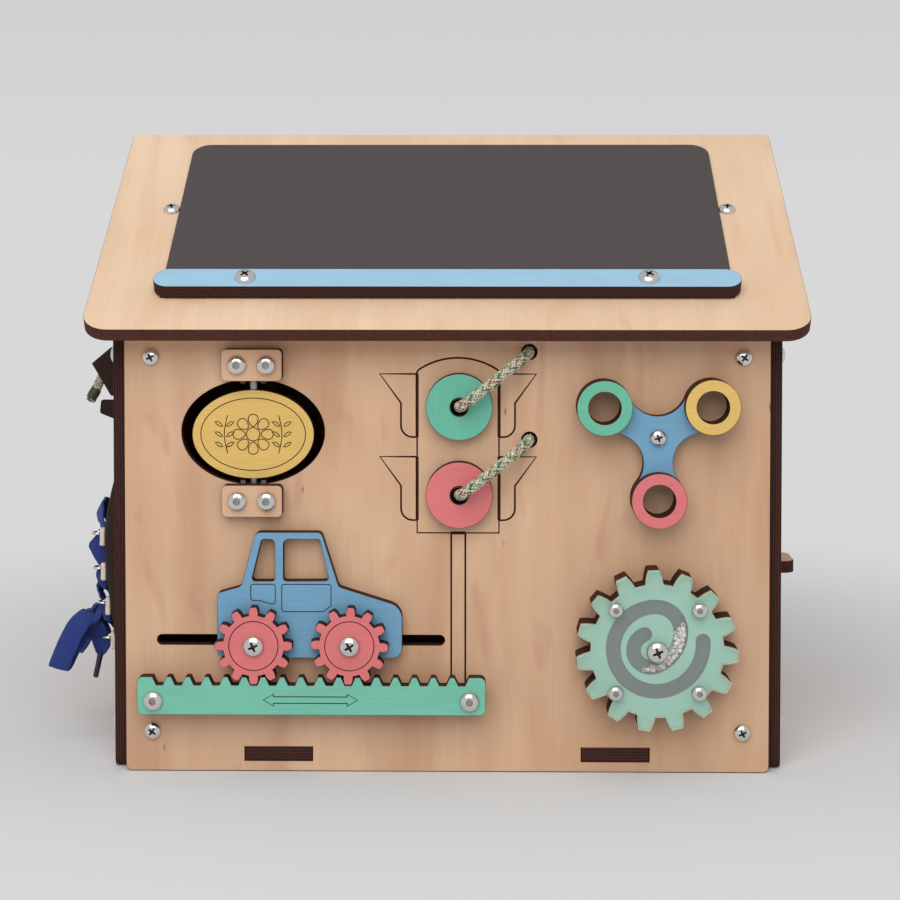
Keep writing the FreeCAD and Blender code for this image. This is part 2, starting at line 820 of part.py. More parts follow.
add("maze_back_gear", drilled(slab(maze_wire, gear_low, gear_mid), maze_holes + maze_bore), front)
spiral_gear = slab(maze_wire, gear_mid, gear_high).cut(slab(channel_outline(channel), gear_mid, gear_high))
add("maze_spiral", drilled(spiral_gear.Solids[0], maze_holes + maze_bore), front)
add("maze_cover", drilled(slab(maze_wire, gear_high, cover_top), maze_holes + maze_bore), front)
maze_screw_tip = gear_low + maze_screw_stop
add("maze_screws", [domed_screw(p.x, p.y, cover_top, maze_screw_head, maze_screw_height, maze_screw_shank,
                                maze_screw_tip)
                    for p in maze_screws], front)
add("maze_beads", maze_beads(), front)
add("maze_bolt", through_bolt(maze_x, maze_z, cover_top + float_gap, maze_head, maze_head_height,
                              maze_bolt_shank, -ply), front)
add("nuts_and_washers", flat_washer(maze_x, maze_z, maze_washer, maze_bolt_shank, 0, washer_height), front)
maze_nut_hole = [(maze_x, maze_z, maze_bolt_shank + 2 * grip)]
add("nuts_and_washers", drilled(hex_nut(maze_x, maze_z, -ply), maze_nut_hole), front)

# Rack and tractor ------------------------------------------------------------------

module = tooth_pitch / math.pi
wheel_radius = module * wheel_teeth / 2
wheel_tip = wheel_radius + wheel_addendum
wheel_root = wheel_radius - wheel_dedendum
pressure = math.radians(pressure_angle)
pitch_line = axle_z - wheel_radius
rack_top = pitch_line + rack_addendum
rack_foot = pitch_line - rack_dedendum
half_tooth = tooth_pitch / 4 - tooth_play / 2
half_top = half_tooth - rack_addendum * math.tan(pressure)
half_foot = half_tooth + rack_dedendum * math.tan(pressure)
rack_low = ply
rack_high = 2 * ply


def rack_outline():
    corners = [(rack_left, rack_bottom, rack_corner), (rack_right, rack_bottom, rack_corner)]
    last_gap = first_tooth_x + (rack_teeth - 0.5) * tooth_pitch
    first_gap = first_tooth_x - 0.5 * tooth_pitch
    foot_gap = tooth_pitch / 2 - half_foot
    top_gap = tooth_pitch / 2 - half_top
    corners += [(rack_right, rack_top, rack_corner), (last_gap + top_gap, rack_top)]
    corners += [(last_gap + foot_gap, rack_foot)]
    for k in reversed(range(rack_teeth)):
        x = first_tooth_x + k * tooth_pitch
        corners += [(x + half_foot, rack_foot), (x + half_top, rack_top)]
        corners += [(x - half_top, rack_top), (x - half_foot, rack_foot)]
    corners += [(first_gap - foot_gap, rack_foot), (first_gap - top_gap, rack_top)]
    corners += [(rack_left, rack_top, rack_corner)]
    return outline(corners)


rack = drilled(slab(rack_outline(), rack_low, rack_high), [(x, z, bolt_bore) for x, z in rack_bolts])
add("gear_rack", rack, front)
for x, z in rack_bolts:
    half_w = spacer_width / 2
    half_h = spacer_height / 2
    spacer = slab(rectangle(x - half_w, x + half_w, z - half_h, z + half_h, spacer_corner), 0, ply)
    add("rack_spacers", drilled(spacer, [(x, z, bolt_bore)]), front)
    add("hex_bolts", through_bolt(x, z, rack_high, button_head, button_height, bolt, -ply), front)
    add("nuts_and_washers", hex_nut(x, z, -ply), front)

rear_axle_x = first_tooth_x + (rear_wheel_gap + 0.5) * tooth_pitch
front_axle_x = rear_axle_x + wheelbase
axles = [rear_axle_x, front_axle_x]
body_low = tractor_gap
body_high = body_low + ply
wheel_low = body_high + tractor_gap
wheel_high = wheel_low + ply


def involute(angle):
    return math.tan(angle) - angle


def wheel_outline(x):
    # Involute flanks that roll on the rack, with the tooth at the bottom in its gap.
    base = wheel_radius * math.cos(pressure)
    at_pitch = half_tooth / wheel_radius + involute(pressure)
    at_tip = at_pitch - involute(math.acos(base / wheel_tip))
    flank = ((base, at_pitch), (wheel_radius, half_tooth / wheel_radius), (wheel_tip, at_tip))
    into_gap = (x - first_tooth_x) / tooth_pitch - 0.5
    rolled = (into_gap - round(into_gap)) * tooth_pitch / wheel_radius
    step = 2 * math.pi / wheel_teeth
    edges = []
    for k in range(wheel_teeth):
        angle = -math.pi / 2 - rolled + k * step

        def at(radius, offset):
            return Vec(x + radius * math.cos(angle + offset), axle_z + radius * math.sin(angle + offset), 0)

        rising = [at(r, -a) for r, a in flank]
        falling = [at(r, a) for r, a in reversed(flank)]
        root = at(wheel_root, -at_pitch)
        next_root = at(wheel_root, step - at_pitch)
        edges.append(Part.LineSegment(root, rising[0]).toShape())
        edges.append(Part.Arc(*rising).toShape())
        edges.append(Part.LineSegment(rising[2], falling[0]).toShape())
        edges.append(Part.Arc(*falling).toShape())
        edges.append(Part.LineSegment(falling[2], at(wheel_root, at_pitch)).toShape())
        edges.append(Part.LineSegment(at(wheel_root, at_pitch), next_root).toShape())
    return Part.Wire(edges)


# The tractor's side view, placed from its rear axle.
tractor_corners = [
    (-16.8, -6.7, 3.0), (65.4, -6.7, 4.5), (65.4, 16.2, 7.0), (37.3, 25.1, 2.5), (29.6, 49.4, 2.5),
    (0.4, 49.4, 3.0), (-6.0, 25.2, 3.0), (-16.8, 22.2, 2.0),
]
rear_window = [(-1.6, 27.6, 1.5), (9.0, 27.6, 1.5), (9.0, 46.4, 2.5), (3.1, 46.4, 1.5)]
side_window = [(12.7, 27.6, 1.5), (33.2, 27.8, 1.5), (28.9, 46.4, 1.5), (12.7, 46.4, 2.5)]


def from_rear_axle(corners):
    return outline([(rear_axle_x + x, axle_z + z, radius) for x, z, radius in corners])


tractor = slab(from_rear_axle(tractor_corners), body_low, body_high)
for window in (rear_window, side_window):
    tractor = tractor.cut(slab(from_rear_axle(window), body_low, body_high))
axle_holes = [(x, axle_z, bolt + 2 * grip) for x in axles]
add("tractor_body", drilled(tractor, axle_holes), front)
inner_washer_top = -ply - tractor_gap
for name, x in zip(("rear_wheel", "front_wheel"), axles):
    wheel = slab(wheel_outline(x), wheel_low, wheel_high)
    add(name, drilled(wheel, [(x, axle_z, bolt + 2 * running_gap)]), front)
    inner_nut_top = inner_washer_top - washer_height
    add("wheel_bolts", through_bolt(x, axle_z, wheel_high + float_gap, wheel_head, pan_height, bolt,
                                    inner_nut_top), front)
    add("wheel_nuts", flat_washer(x, axle_z, washer, bolt, inner_nut_top, inner_washer_top), front)
    add("wheel_nuts", hex_nut(x, axle_z, inner_nut_top), front)

# Slider in the right wall ------------------------------------------------------------

slider_low = slider_z - ply / 2
slider_high = slider_z + ply / 2
slot_half = (slider_travel + slider_width) / 2 + float_gap
slider_slot = rectangle(-slot_half, slot_half, slider_low - float_gap, slider_high + float_gap, 1.0)
add("right_side_panel", side_wall().cut(slab(slider_slot, -ply, 0)).Solids[0], right)

tab_near = slider_rest - slider_width / 2
tab_far = slider_rest + slider_width / 2
tab = slab(outline([
    (half_width - slider_tail, tab_near),
    (half_width + slider_reach, tab_near, slider_corner),
    (half_width + slider_reach, tab_far, slider_corner),
    (half_width - slider_tail, tab_far),
]), slider_low, slider_high)
add("slider_tab", tab)
keeper_out = -ply - float_gap
keeper_in = keeper_out - ply
keeper_wire = rectangle(slider_rest - keeper_width / 2, slider_rest + keeper_width / 2,
                        slider_z - keeper_height / 2, slider_z + keeper_height / 2, keeper_corner)
keeper = slab(keeper_wire, keeper_in, keeper_out)
mortise = slab(rectangle(tab_near - grip, tab_far + grip, slider_low - grip, slider_high + grip),
               keeper_in, keeper_out)
add("slider_keeper", keeper.cut(mortise).Solids[0], right)

rail_half = (slider_travel + keeper_width) / 2 + rail_end
for side in (-1, 1):
    inner = slider_z + side * (keeper_height / 2 + float_gap)
    outer = inner + side * rail_height
    lip = inner - side * rail_lip
    lip_out = keeper_in - float_gap
    bar_low, bar_high = sorted((inner, outer))
    rail = slab(rectangle(-rail_half, rail_half, bar_low, bar_high), lip_out - ply, -ply)
    lip_low, lip_high = sorted((lip, outer))
    rail = rail.fuse(slab(rectangle(-rail_half, rail_half, lip_low, lip_high), lip_out - ply, lip_out))
    add("slider_rails", rail.removeSplitter().Solids[0], right)

# Lacing patch on the left wall ---------------------------------------------------------

patch_x = -patch_y
hooks = [(patch_x + side * hook_reach, first_hook_z - row * hook_pitch)
         for row in range(hook_rows) for side in (-1, 1)]


def patch_rise(z):
    # How far the padded patch stands off the wall at a height: fullest near its top.
    share = (z - patch_low) / (patch_high - patch_low)
    return patch_edge + patch_bulge * math.sin(math.pi * max(0, min(1, share)) ** patch_lean)


def patch_profile():
    # Cut through the patch from its foot to its top, (height, out of the wall).
    steps = 8
    heights = [patch_low + (patch_high - patch_low) * k / steps for k in range(steps + 1)]
    points = [Vec(patch_rise(z), z, 0) for z in heights]
    crown = Part.BSplineCurve()
    crown.interpolate(points)
    low, high = Vec(0, patch_low, 0), Vec(0, patch_high, 0)
    return Part.Wire([
        Part.LineSegment(low, points[0]).toShape(), crown.toShape(),
        Part.LineSegment(points[-1], high).toShape(), Part.LineSegment(high, low).toShape(),
    ])


# Seen along the wall, so the profile is drawn out of the wall and swept along it.
patch_plane = plane(Vec(-half_width, patch_y - patch_width / 2, 0), Vec(-1, 0, 0), Vec(0, 0, 1))
add("lacing_patch", slab(patch_profile(), 0, patch_width), patch_plane)


def lace_ring(middle, outer, inner, width):
    # A flat ring that lies level and dips into its tab.
    ring = Part.makeCylinder(outer / 2, width, Vec(0, -width / 2, 0), Vec(0, 1, 0))
    ring = ring.cut(Part.makeCylinder(inner / 2, width, Vec(0, -width / 2, 0), Vec(0, 1, 0))).Solids[0]
    ring.translate(middle)
    return ring


for x, z in hooks:
    half = hook_tab_width / 2
    seat = max(patch_rise(z - hook_tab_height / 2), patch_rise(z + hook_tab_height / 2), patch_rise(z))
    seat += seat_gap
    tab = slab(rectangle(x - half, x + half, z - hook_tab_height / 2, z + hook_tab_height / 2, 1),
               seat, seat + hook_tab_thickness)
    ring_place = Vec(x, z + hook_tab_height / 2 - 2 * hook_wire, seat + hook_tab_thickness + hook_wire)
    inner = hook_ring - 2 * hook_wire
    notch = lace_ring(ring_place, hook_ring + 2 * seat_gap, inner - 2 * seat_gap, hook_wire + 2 * seat_gap)
    add("lace_hooks", tab.cut(notch).Solids[0], left)
    add("lace_rings", lace_ring(ring_place, hook_ring, inner, hook_wire), left)

# Flat straps cross between the hooks of one row and the next, one over the other.
ring_rise = hook_tab_height / 2 - 2 * hook_wire
end_gap = hook_ring / 2 + strap_clearance


def strap(x0, z0, x1, z1, low):
    # A strap that is narrow where it enters the rings and spreads between them.
    along = Vec(x1 - x0, z1 - z0, 0)
    across = Vec(-along.y, along.x, 0).normalize()
    start, end = Vec(x0, z0, 0), Vec(x1, z1, 0)
    wide_from = start + along * strap_spread
    wide_to = start + along * (1 - strap_spread)
    stations = [(start, strap_end), (wide_from, strap_middle), (wide_to, strap_middle), (end, strap_end)]
    corners = []
    for point, width, side in [(*s, -1) for s in stations] + [(*s, 1) for s in reversed(stations)]:
        corner = point + across * (side * width / 2)
        corners.append((corner.x, corner.y))
    return slab(outline(corners), low, low + lace_thickness)


strap_inner = patch_x - hook_reach + end_gap
strap_outer = patch_x + hook_reach - end_gap
layer = lace_thickness + lace_gap
for row in range(hook_rows - 1):
    upper = first_hook_z - row * hook_pitch + ring_rise - strap_step
    lower = first_hook_z - (row + 1) * hook_pitch + ring_rise + strap_step
    heights = [lower - strap_end, (lower + upper) / 2, upper + strap_end]
    low = max(patch_rise(z) for z in heights) + lace_gap
    add("lace_lacing", strap(strap_outer, upper, strap_inner, lower, low), left)
    add("lace_lacing", strap(strap_inner, upper, strap_outer, lower, low + layer), left)
knot_seat = low + layer + lace_thickness + knot_gap
top_z = first_hook_z + ring_rise + strap_step
bow_edges = []
for x0, x1, rise in ((strap_outer, strap_inner, bow_rise),
                     (strap_inner + bow_taper, strap_outer - bow_taper, -bow_dip)):
    bow_edges.append(Part.Arc(Vec(x0, top_z, 0), Vec(patch_x, top_z + hook_reach / 2 + rise, 0),
                              Vec(x1, top_z, 0)).toShape())
first, second = bow_edges
inner_end = Part.LineSegment(Vec(strap_inner, top_z, 0), Vec(strap_inner + bow_taper, top_z, 0)).toShape()
outer_end = Part.LineSegment(Vec(strap_outer - bow_taper, top_z, 0), Vec(strap_outer, top_z, 0)).toShape()
bow_wire = Part.Wire([first, inner_end, second, outer_end])
top_seat = patch_rise(top_z) + lace_gap
add("lace_lacing", slab(bow_wire, top_seat, top_seat + lace_thickness), left)

lace_knot = turned([
    (0, 0),
    (lace_knot_size * 0.3, 0),
    (lace_knot_size * 0.5, lace_knot_size * 0.2),
    (lace_knot_size * 0.5, lace_knot_size * 0.45),
    (lace_knot_size * 0.3, lace_knot_size * 0.7),
    (0, lace_knot_size * 0.7),
])
lace_knot.translate(Vec(patch_x, lace_z, knot_seat))
add("lace_knot", lace_knot, left)

# Each end of the lace makes a loop of the bow, comes back to the knot and hangs down.
lace_front_route = [
    (-163.5, -84.9, 61.5), (-165.5, -92.0, 65.0), (-168.5, -99.0, 66.5), (-173.5, -104.0, 62.5),
    (-178.0, -106.0, 55.0), (-180.0, -105.0, 47.5), (-178.5, -98.5, 45.0), (-174.5, -94.0, 50.5),
    (-170.5, -90.0, 54.0), (-166.0, -85.0, 50.5), (-163.0, -83.5, 45.5), (-163.2, -83.5, 40.5),
]
lace_back_route = [
    (-163.5, -71.1, 61.5), (-166.5, -64.5, 65.5), (-171.5, -59.0, 66.5), (-177.0, -55.0, 62.0),
    (-181.0, -53.0, 55.0), (-182.0, -55.0, 48.5), (-178.5, -60.0, 46.5), (-173.5, -64.5, 50.5),
    (-169.5, -69.0, 52.5), (-165.5, -73.0, 48.5), (-162.5, -74.0, 42.5), (-161.5, -74.0, 35.5),
]
for name, route in (("lace_front_end", lace_front_route), ("lace_back_end", lace_back_route)):
    add(name, rope_tube(route, lace_tube))
    end = Vec(*route[-1])
    along = (end - Vec(*route[-2])).normalize()
    tip = Part.makeCylinder(aglet / 2, aglet_length, end + along * knot_gap, along)
    add("lace_aglets", tip)

# Tongues and tie rope ------------------------------------------------------------------

# Each tongue's outline is (out of the wall, height); its root fills a slot in the wall.
tongue_slots = [(160.0, 187.0), (146.0, 158.0)]
upper_tongue = [
    (-ply, 160.0), (16.2, 160.0, 1.0), (tongue_reach, 175.9), (16.4, 183.6, 1.5), (8.0, 187.0, 2.0),
    (-ply, 187.0),
]
lower_tongue = [(-ply, 146.0), (8.0, 146.0, 2.0), (21.7, 151.5, 1.5), (21.0, 158.0, 1.0), (-ply, 158.0)]
tongue_plane = plane(Vec(-half_width, tongue_y - tongue_thickness / 2, 0), Vec(-1, 0, 0), Vec(0, 0, 1))
for corners in (upper_tongue, lower_tongue):
    add("leather_tongues", slab(outline(corners), 0, tongue_thickness), tongue_plane)

tie_rope_route = [
    (-150.5, -29.0, 182.0), (-157.5, -29.0, 183.5), (-165.5, -30.0, 181.0), (-171.5, -30.5, 175.0),
    (-175.0, -30.5, 167.0), (-175.5, -30.5, 158.5),
]
add("tie_rope", rope_tube(tie_rope_route, tie_rope))
add("rope_knots", rope_knot(-tie_rope_y, tie_rope_z, rope_route[0][1] - rope_lean), left)

left_wall = side_wall()
half = tongue_thickness / 2 + seat_gap
for low, high in tongue_slots:
    left_wall = left_wall.cut(slab(rectangle(-tongue_y - half, -tongue_y + half, low - seat_gap,
                                             high + seat_gap), -ply, 0))
left_wall = drilled(left_wall, [(-tie_rope_y, tie_rope_z, rope_hole)])
add("left_side_panel", left_wall, left)

for name, solids in pieces.items():
    print(name, len(solids), round(sum(s.Volume for s in solids), 1), all(s.isValid() for s in solids))

os.makedirs("parts", exist_ok=True)
for name, solids in pieces.items():
    shape = solids[0] if len(solids) == 1 else Part.Compound(solids)
    shape.exportStep("parts/" + name + ".step")
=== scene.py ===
import json
import random
from itertools import product
from math import cos, hypot, pi, radians, sin, sqrt, tan, tau

import bmesh
import bpy
from mathutils import Matrix, Vector
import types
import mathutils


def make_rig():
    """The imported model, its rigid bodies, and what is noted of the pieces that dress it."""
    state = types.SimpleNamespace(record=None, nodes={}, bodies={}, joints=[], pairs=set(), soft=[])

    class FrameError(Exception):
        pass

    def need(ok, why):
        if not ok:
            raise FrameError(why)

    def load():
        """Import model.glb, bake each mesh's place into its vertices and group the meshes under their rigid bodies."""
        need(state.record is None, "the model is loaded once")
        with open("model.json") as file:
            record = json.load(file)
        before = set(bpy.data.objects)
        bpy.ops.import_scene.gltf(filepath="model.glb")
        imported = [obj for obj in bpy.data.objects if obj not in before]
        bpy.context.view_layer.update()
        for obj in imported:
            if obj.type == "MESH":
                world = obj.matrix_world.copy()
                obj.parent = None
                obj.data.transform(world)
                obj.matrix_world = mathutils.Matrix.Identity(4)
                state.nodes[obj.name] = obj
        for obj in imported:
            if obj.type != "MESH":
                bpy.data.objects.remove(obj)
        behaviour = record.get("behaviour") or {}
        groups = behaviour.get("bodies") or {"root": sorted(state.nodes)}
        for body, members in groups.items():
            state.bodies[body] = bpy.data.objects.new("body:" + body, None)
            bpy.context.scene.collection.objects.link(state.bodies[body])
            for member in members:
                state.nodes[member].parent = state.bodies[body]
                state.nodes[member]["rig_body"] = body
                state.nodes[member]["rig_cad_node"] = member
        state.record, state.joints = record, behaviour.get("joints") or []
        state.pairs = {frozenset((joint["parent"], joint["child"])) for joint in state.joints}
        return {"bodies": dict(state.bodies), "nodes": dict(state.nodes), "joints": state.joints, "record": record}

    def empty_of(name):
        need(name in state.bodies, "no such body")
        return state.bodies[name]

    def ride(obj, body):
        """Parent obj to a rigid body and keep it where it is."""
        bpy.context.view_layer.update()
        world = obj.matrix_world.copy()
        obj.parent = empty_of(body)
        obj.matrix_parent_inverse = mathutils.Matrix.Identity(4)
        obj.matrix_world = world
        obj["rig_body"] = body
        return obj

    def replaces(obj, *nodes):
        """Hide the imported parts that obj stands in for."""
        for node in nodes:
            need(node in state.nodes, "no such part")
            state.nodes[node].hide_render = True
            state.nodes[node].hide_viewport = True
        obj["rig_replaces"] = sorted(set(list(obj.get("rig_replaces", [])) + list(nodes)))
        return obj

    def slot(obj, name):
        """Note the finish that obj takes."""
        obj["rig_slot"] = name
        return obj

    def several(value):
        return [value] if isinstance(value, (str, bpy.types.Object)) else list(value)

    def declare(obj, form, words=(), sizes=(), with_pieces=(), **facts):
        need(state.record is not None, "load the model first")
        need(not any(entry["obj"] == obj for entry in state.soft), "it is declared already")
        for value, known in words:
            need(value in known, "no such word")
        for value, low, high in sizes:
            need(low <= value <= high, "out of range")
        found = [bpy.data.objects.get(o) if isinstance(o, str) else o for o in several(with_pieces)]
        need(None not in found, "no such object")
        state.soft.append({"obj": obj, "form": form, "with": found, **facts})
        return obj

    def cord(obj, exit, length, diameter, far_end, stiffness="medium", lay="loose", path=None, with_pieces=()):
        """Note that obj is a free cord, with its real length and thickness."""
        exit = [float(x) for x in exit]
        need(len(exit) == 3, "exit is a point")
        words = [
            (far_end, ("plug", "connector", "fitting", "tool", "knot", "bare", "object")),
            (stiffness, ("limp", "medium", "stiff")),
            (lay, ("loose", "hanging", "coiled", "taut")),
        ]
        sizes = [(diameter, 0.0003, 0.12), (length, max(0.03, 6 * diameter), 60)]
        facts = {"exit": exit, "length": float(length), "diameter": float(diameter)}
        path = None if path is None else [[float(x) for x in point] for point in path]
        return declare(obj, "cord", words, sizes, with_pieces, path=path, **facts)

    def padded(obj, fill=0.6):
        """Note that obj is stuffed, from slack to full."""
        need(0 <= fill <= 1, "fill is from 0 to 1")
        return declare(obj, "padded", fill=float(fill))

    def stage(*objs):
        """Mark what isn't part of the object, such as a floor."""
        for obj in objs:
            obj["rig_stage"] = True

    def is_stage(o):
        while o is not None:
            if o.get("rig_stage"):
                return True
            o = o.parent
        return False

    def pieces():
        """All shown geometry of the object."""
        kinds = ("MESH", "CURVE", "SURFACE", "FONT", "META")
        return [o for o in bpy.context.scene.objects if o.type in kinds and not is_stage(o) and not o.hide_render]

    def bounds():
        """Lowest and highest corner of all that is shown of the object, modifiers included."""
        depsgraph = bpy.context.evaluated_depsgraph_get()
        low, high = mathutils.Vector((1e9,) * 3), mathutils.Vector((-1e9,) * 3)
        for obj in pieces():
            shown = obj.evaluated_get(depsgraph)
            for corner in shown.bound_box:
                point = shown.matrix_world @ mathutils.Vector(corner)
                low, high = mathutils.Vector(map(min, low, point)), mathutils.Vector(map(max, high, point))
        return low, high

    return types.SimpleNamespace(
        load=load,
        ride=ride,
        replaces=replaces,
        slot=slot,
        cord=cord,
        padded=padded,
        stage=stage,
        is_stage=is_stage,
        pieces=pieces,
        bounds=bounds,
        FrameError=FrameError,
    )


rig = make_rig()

# The looks of a plywood play house: lengths in the size dictionaries are millimetres.
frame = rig.load()
nodes = frame["nodes"]
cadLow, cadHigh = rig.bounds()
mm = 0.001
random.seed(7)
print("frame loaded:", len(nodes), "nodes")


# Walls: a drawing plane has x across, y up and z out of the wall

house = {"halfWidth": 150.0, "halfDepth": 125.0, "ply": 6.0, "pitch": 32.2, "overhang": 20.0,
         "wallHeight": 205.0}
slope = radians(house["pitch"])
eaveY = -(house["halfDepth"] + house["overhang"])
eaveZ = house["wallHeight"] + house["ply"] / cos(slope) - house["overhang"] * tan(slope)


def wallPlane(origin, across, up):
    across, up = Vector(across), Vector(up)
    out = across.cross(up)
    plane = Matrix((across, up, out)).transposed().to_4x4()
    plane.translation = Vector(origin) * mm
    return plane


front = wallPlane((0, -house["halfDepth"], 0), (1, 0, 0), (0, 0, 1))
back = wallPlane((0, house["halfDepth"], 0), (-1, 0, 0), (0, 0, 1))
right = wallPlane((house["halfWidth"], 0, 0), (0, 1, 0), (0, 0, 1))
left = wallPlane((-house["halfWidth"], 0, 0), (0, -1, 0), (0, 0, 1))
frontRoof = wallPlane((0, eaveY, eaveZ), (1, 0, 0), (0, cos(slope), sin(slope)))
backRoof = wallPlane((0, -eaveY, eaveZ), (-1, 0, 0), (0, -cos(slope), sin(slope)))


# Camera

view = {"place": (14.2, -1005.0, 256.1), "lens": 79.28, "pitch": 2.03, "yaw": -0.83, "shift": -0.2}


def makeCamera():
    lens = bpy.data.cameras.new("camera")
    lens.lens = view["lens"]
    lens.sensor_width = 36.0
    lens.shift_y = view["shift"]
    lens.clip_end = 50
    camera = bpy.data.objects.new("camera", lens)
    camera.location = Vector(view["place"]) * mm
    camera.rotation_euler = (radians(90 - view["pitch"]), 0, radians(-view["yaw"]))
    bpy.context.collection.objects.link(camera)
    bpy.context.scene.camera = camera


makeCamera()
print("camera placed")


# Materials

def tint(*colour):
    def linear(value):
        value /= 255
        return value / 12.92 if value <= 0.04045 else ((value + 0.055) / 1.055) ** 2.4
    return (*map(linear, colour), 1.0)


def shaded(colour, share):
    return tuple(value * share for value in tint(*colour)[:3]) + (1.0,)


class Nodes:
    # A node tree under way
    def __init__(self, tree):
        self.tree = tree
        tree.nodes.clear()

    def feed(self, socket, value):
        if isinstance(value, bpy.types.NodeSocket):
            self.tree.links.new(value, socket)
        else:
            socket.default_value = value

    def add(self, kind, settings=None, inputs=None):
        made = self.tree.nodes.new("ShaderNode" + kind)
        for key, value in (settings or {}).items():
            setattr(made, key, value)
        for key, value in (inputs or {}).items():
            self.feed(made.inputs[key], value)
        return made

    def out(self, kind, settings=None, inputs=None, socket=0):
        return self.add(kind, settings, inputs).outputs[socket]

    def placed(self, size, turn=(0, 0, 0)):
        # Object coordinates turned so that y runs along the grain, then divided by the figure's size in mm
        sizes = size if isinstance(size, tuple) else (size,) * 3
        return self.out("Mapping", {"vector_type": "TEXTURE"}, {
            "Vector": self.out("TexCoord", socket="Object"), "Rotation": tuple(map(radians, turn)),
            "Scale": tuple(length * mm for length in sizes)})

    def noise(self, size, turn=(0, 0, 0), detail=2.0, roughness=0.5, distortion=0.0):
        return self.out("TexNoise", None, {"Vector": self.placed(size, turn), "Scale": 1.0, "Detail": detail,
                                           "Roughness": roughness, "Distortion": distortion}, "Fac")

    def maths(self, operation, first, second=0.0):
        return self.out("Math", {"operation": operation}, {0: first, 1: second})

    def weigh(self, first, second, share):
        rest = self.maths("MULTIPLY", second, 1 - share)
        return self.maths("ADD", self.maths("MULTIPLY", first, share), rest)

    def spread(self, value, low, high, toLow=0.0, toHigh=1.0):
        # Stretches low..high to toLow..toHigh and clamps
        return self.out("MapRange", {"clamp": True}, {"Value": value, "From Min": low, "From Max": high,
                                                      "To Min": toLow, "To Max": toHigh})

    def mix(self, share, first, second, blend="MIX"):
        # A Mix node has its colour sockets by place: 0 factor, 6 and 7 colours, result 2
        kind = {"data_type": "RGBA", "blend_type": blend}
        return self.out("Mix", kind, {0: share, 6: first, 7: second}, 2)


class Finish(Nodes):
    # A material with one principled shader
    def __init__(self, name, **inputs):
        self.material = bpy.data.materials.new(name)
        self.material.use_nodes = True
        super().__init__(self.material.node_tree)
        self.shader = self.add("BsdfPrincipled", inputs=inputs)
        self.surface = self.add("OutputMaterial").inputs["Surface"]
        self.feed(self.surface, self.shader.outputs[0])

    def paint(self, colour, roughness=None):
        self.feed(self.shader.inputs["Base Color"], colour)
        if roughness is not None:
            self.feed(self.shader.inputs["Roughness"], roughness)

    def bump(self, height, strength, distance):
        raised = self.out("Bump", None, {"Strength": strength, "Distance": distance * mm, "Height": height})
        self.feed(self.shader.inputs["Normal"], raised)


upright = (90, 0, 0)            # grain runs up the wall
sideways = (0, 0, -90)          # grain runs along x
upFrontRoof = (house["pitch"], 0, 0)
upBackRoof = (-house["pitch"], 0, 0)

wallWood = {"pale": (217, 180, 147), "dark": (187, 144, 111), "fleck": (122, 68, 44), "flecks": 1.2,
            "smudge": (176, 122, 98)}
# The roof's birch is paler than the wall's: partly its own tone, partly painted light for the roof faces that look up
# into the light
roofWoodPaintedLight = {"pale": (231, 201, 171), "dark": (211, 177, 143), "fleck": (150, 98, 64), "flecks": 0.8,
            "smudge": (206, 160, 124)}
blockWood = {"pale": (216, 184, 146), "dark": (196, 158, 118), "fleck": (150, 105, 70), "flecks": 0.3,
             "smudge": (188, 146, 108)}
edgeLook = {"burnt": (60, 34, 27), "deep": (38, 21, 16), "line": (112, 62, 50), "plies": 5}
birch = {"bands": (34, 300, 34), "clouds": (70, 90, 70), "bandShare": 0.62, "fibres": (1.3, 34, 1.3),
         "smudges": (16, 44, 16), "smudged": 0.5, "streaks": (0.945, 1.025), "cells": (9, 30, 9),
         "fleckReach": 0.09, "flecked": 0.75, "rough": (0.55, 0.7), "bump": (0.25, 0.15)}
stain = {"fibres": (0.8, 18, 0.8), "clouds": (18, 40, 18), "fibreShare": 0.6, "deep": 0.84,
         "specks": (0.5, 2.2, 0.5), "wear": (196, 168, 138), "worn": 0.35, "rough": (0.42, 0.56),
         "bump": (0.22, 0.12)}


def woodFinish(name, wood, turn):
    # Rotary-cut birch: broad soft bands, fine fibres, smudges and short dark flecks
    f = Finish(name)
    bands = f.noise(birch["bands"], turn, 3.0, 0.5, 1.3)
    fibres = f.noise(birch["fibres"], turn, 3.0, 0.6, 0.4)
    clouds = f.noise(birch["clouds"], turn, 2.0, 0.5, 0.4)
    smudges = f.noise(birch["smudges"], turn, 1.0, 0.4, 0.8)
    share = f.weigh(f.spread(bands, 0.3, 0.72), f.spread(clouds, 0.35, 0.7), birch["bandShare"])
    colour = f.mix(share, tint(*wood["dark"]), tint(*wood["pale"]))
    colour = f.mix(f.spread(smudges, 0.6, 0.82, 0.0, birch["smudged"]), colour, tint(*wood["smudge"]))
    streaks = f.spread(fibres, 0.25, 0.75, *birch["streaks"])
    colour = f.mix(1.0, colour, f.out("CombineColor", None, dict.fromkeys(range(3), streaks)), "MULTIPLY")
    cells = f.add("TexVoronoi", {"feature": "F1"}, {
        "Vector": f.placed(birch["cells"], turn), "Scale": 1.0, "Randomness": 1.0}).outputs
    chosen = f.out("SeparateColor", None, {0: cells["Color"]})
    reach = f.spread(chosen, 1 - wood["flecks"] * 0.45, 1.0, 0.0, birch["fleckReach"])
    fleck = f.spread(f.maths("SUBTRACT", reach, cells["Distance"]), 0.0, 0.05, 0.0, birch["flecked"])
    f.paint(f.mix(fleck, colour, tint(*wood["fleck"])), f.spread(fibres, 0.3, 0.7, *birch["rough"]))
    f.bump(fibres, *birch["bump"])
    return f.material


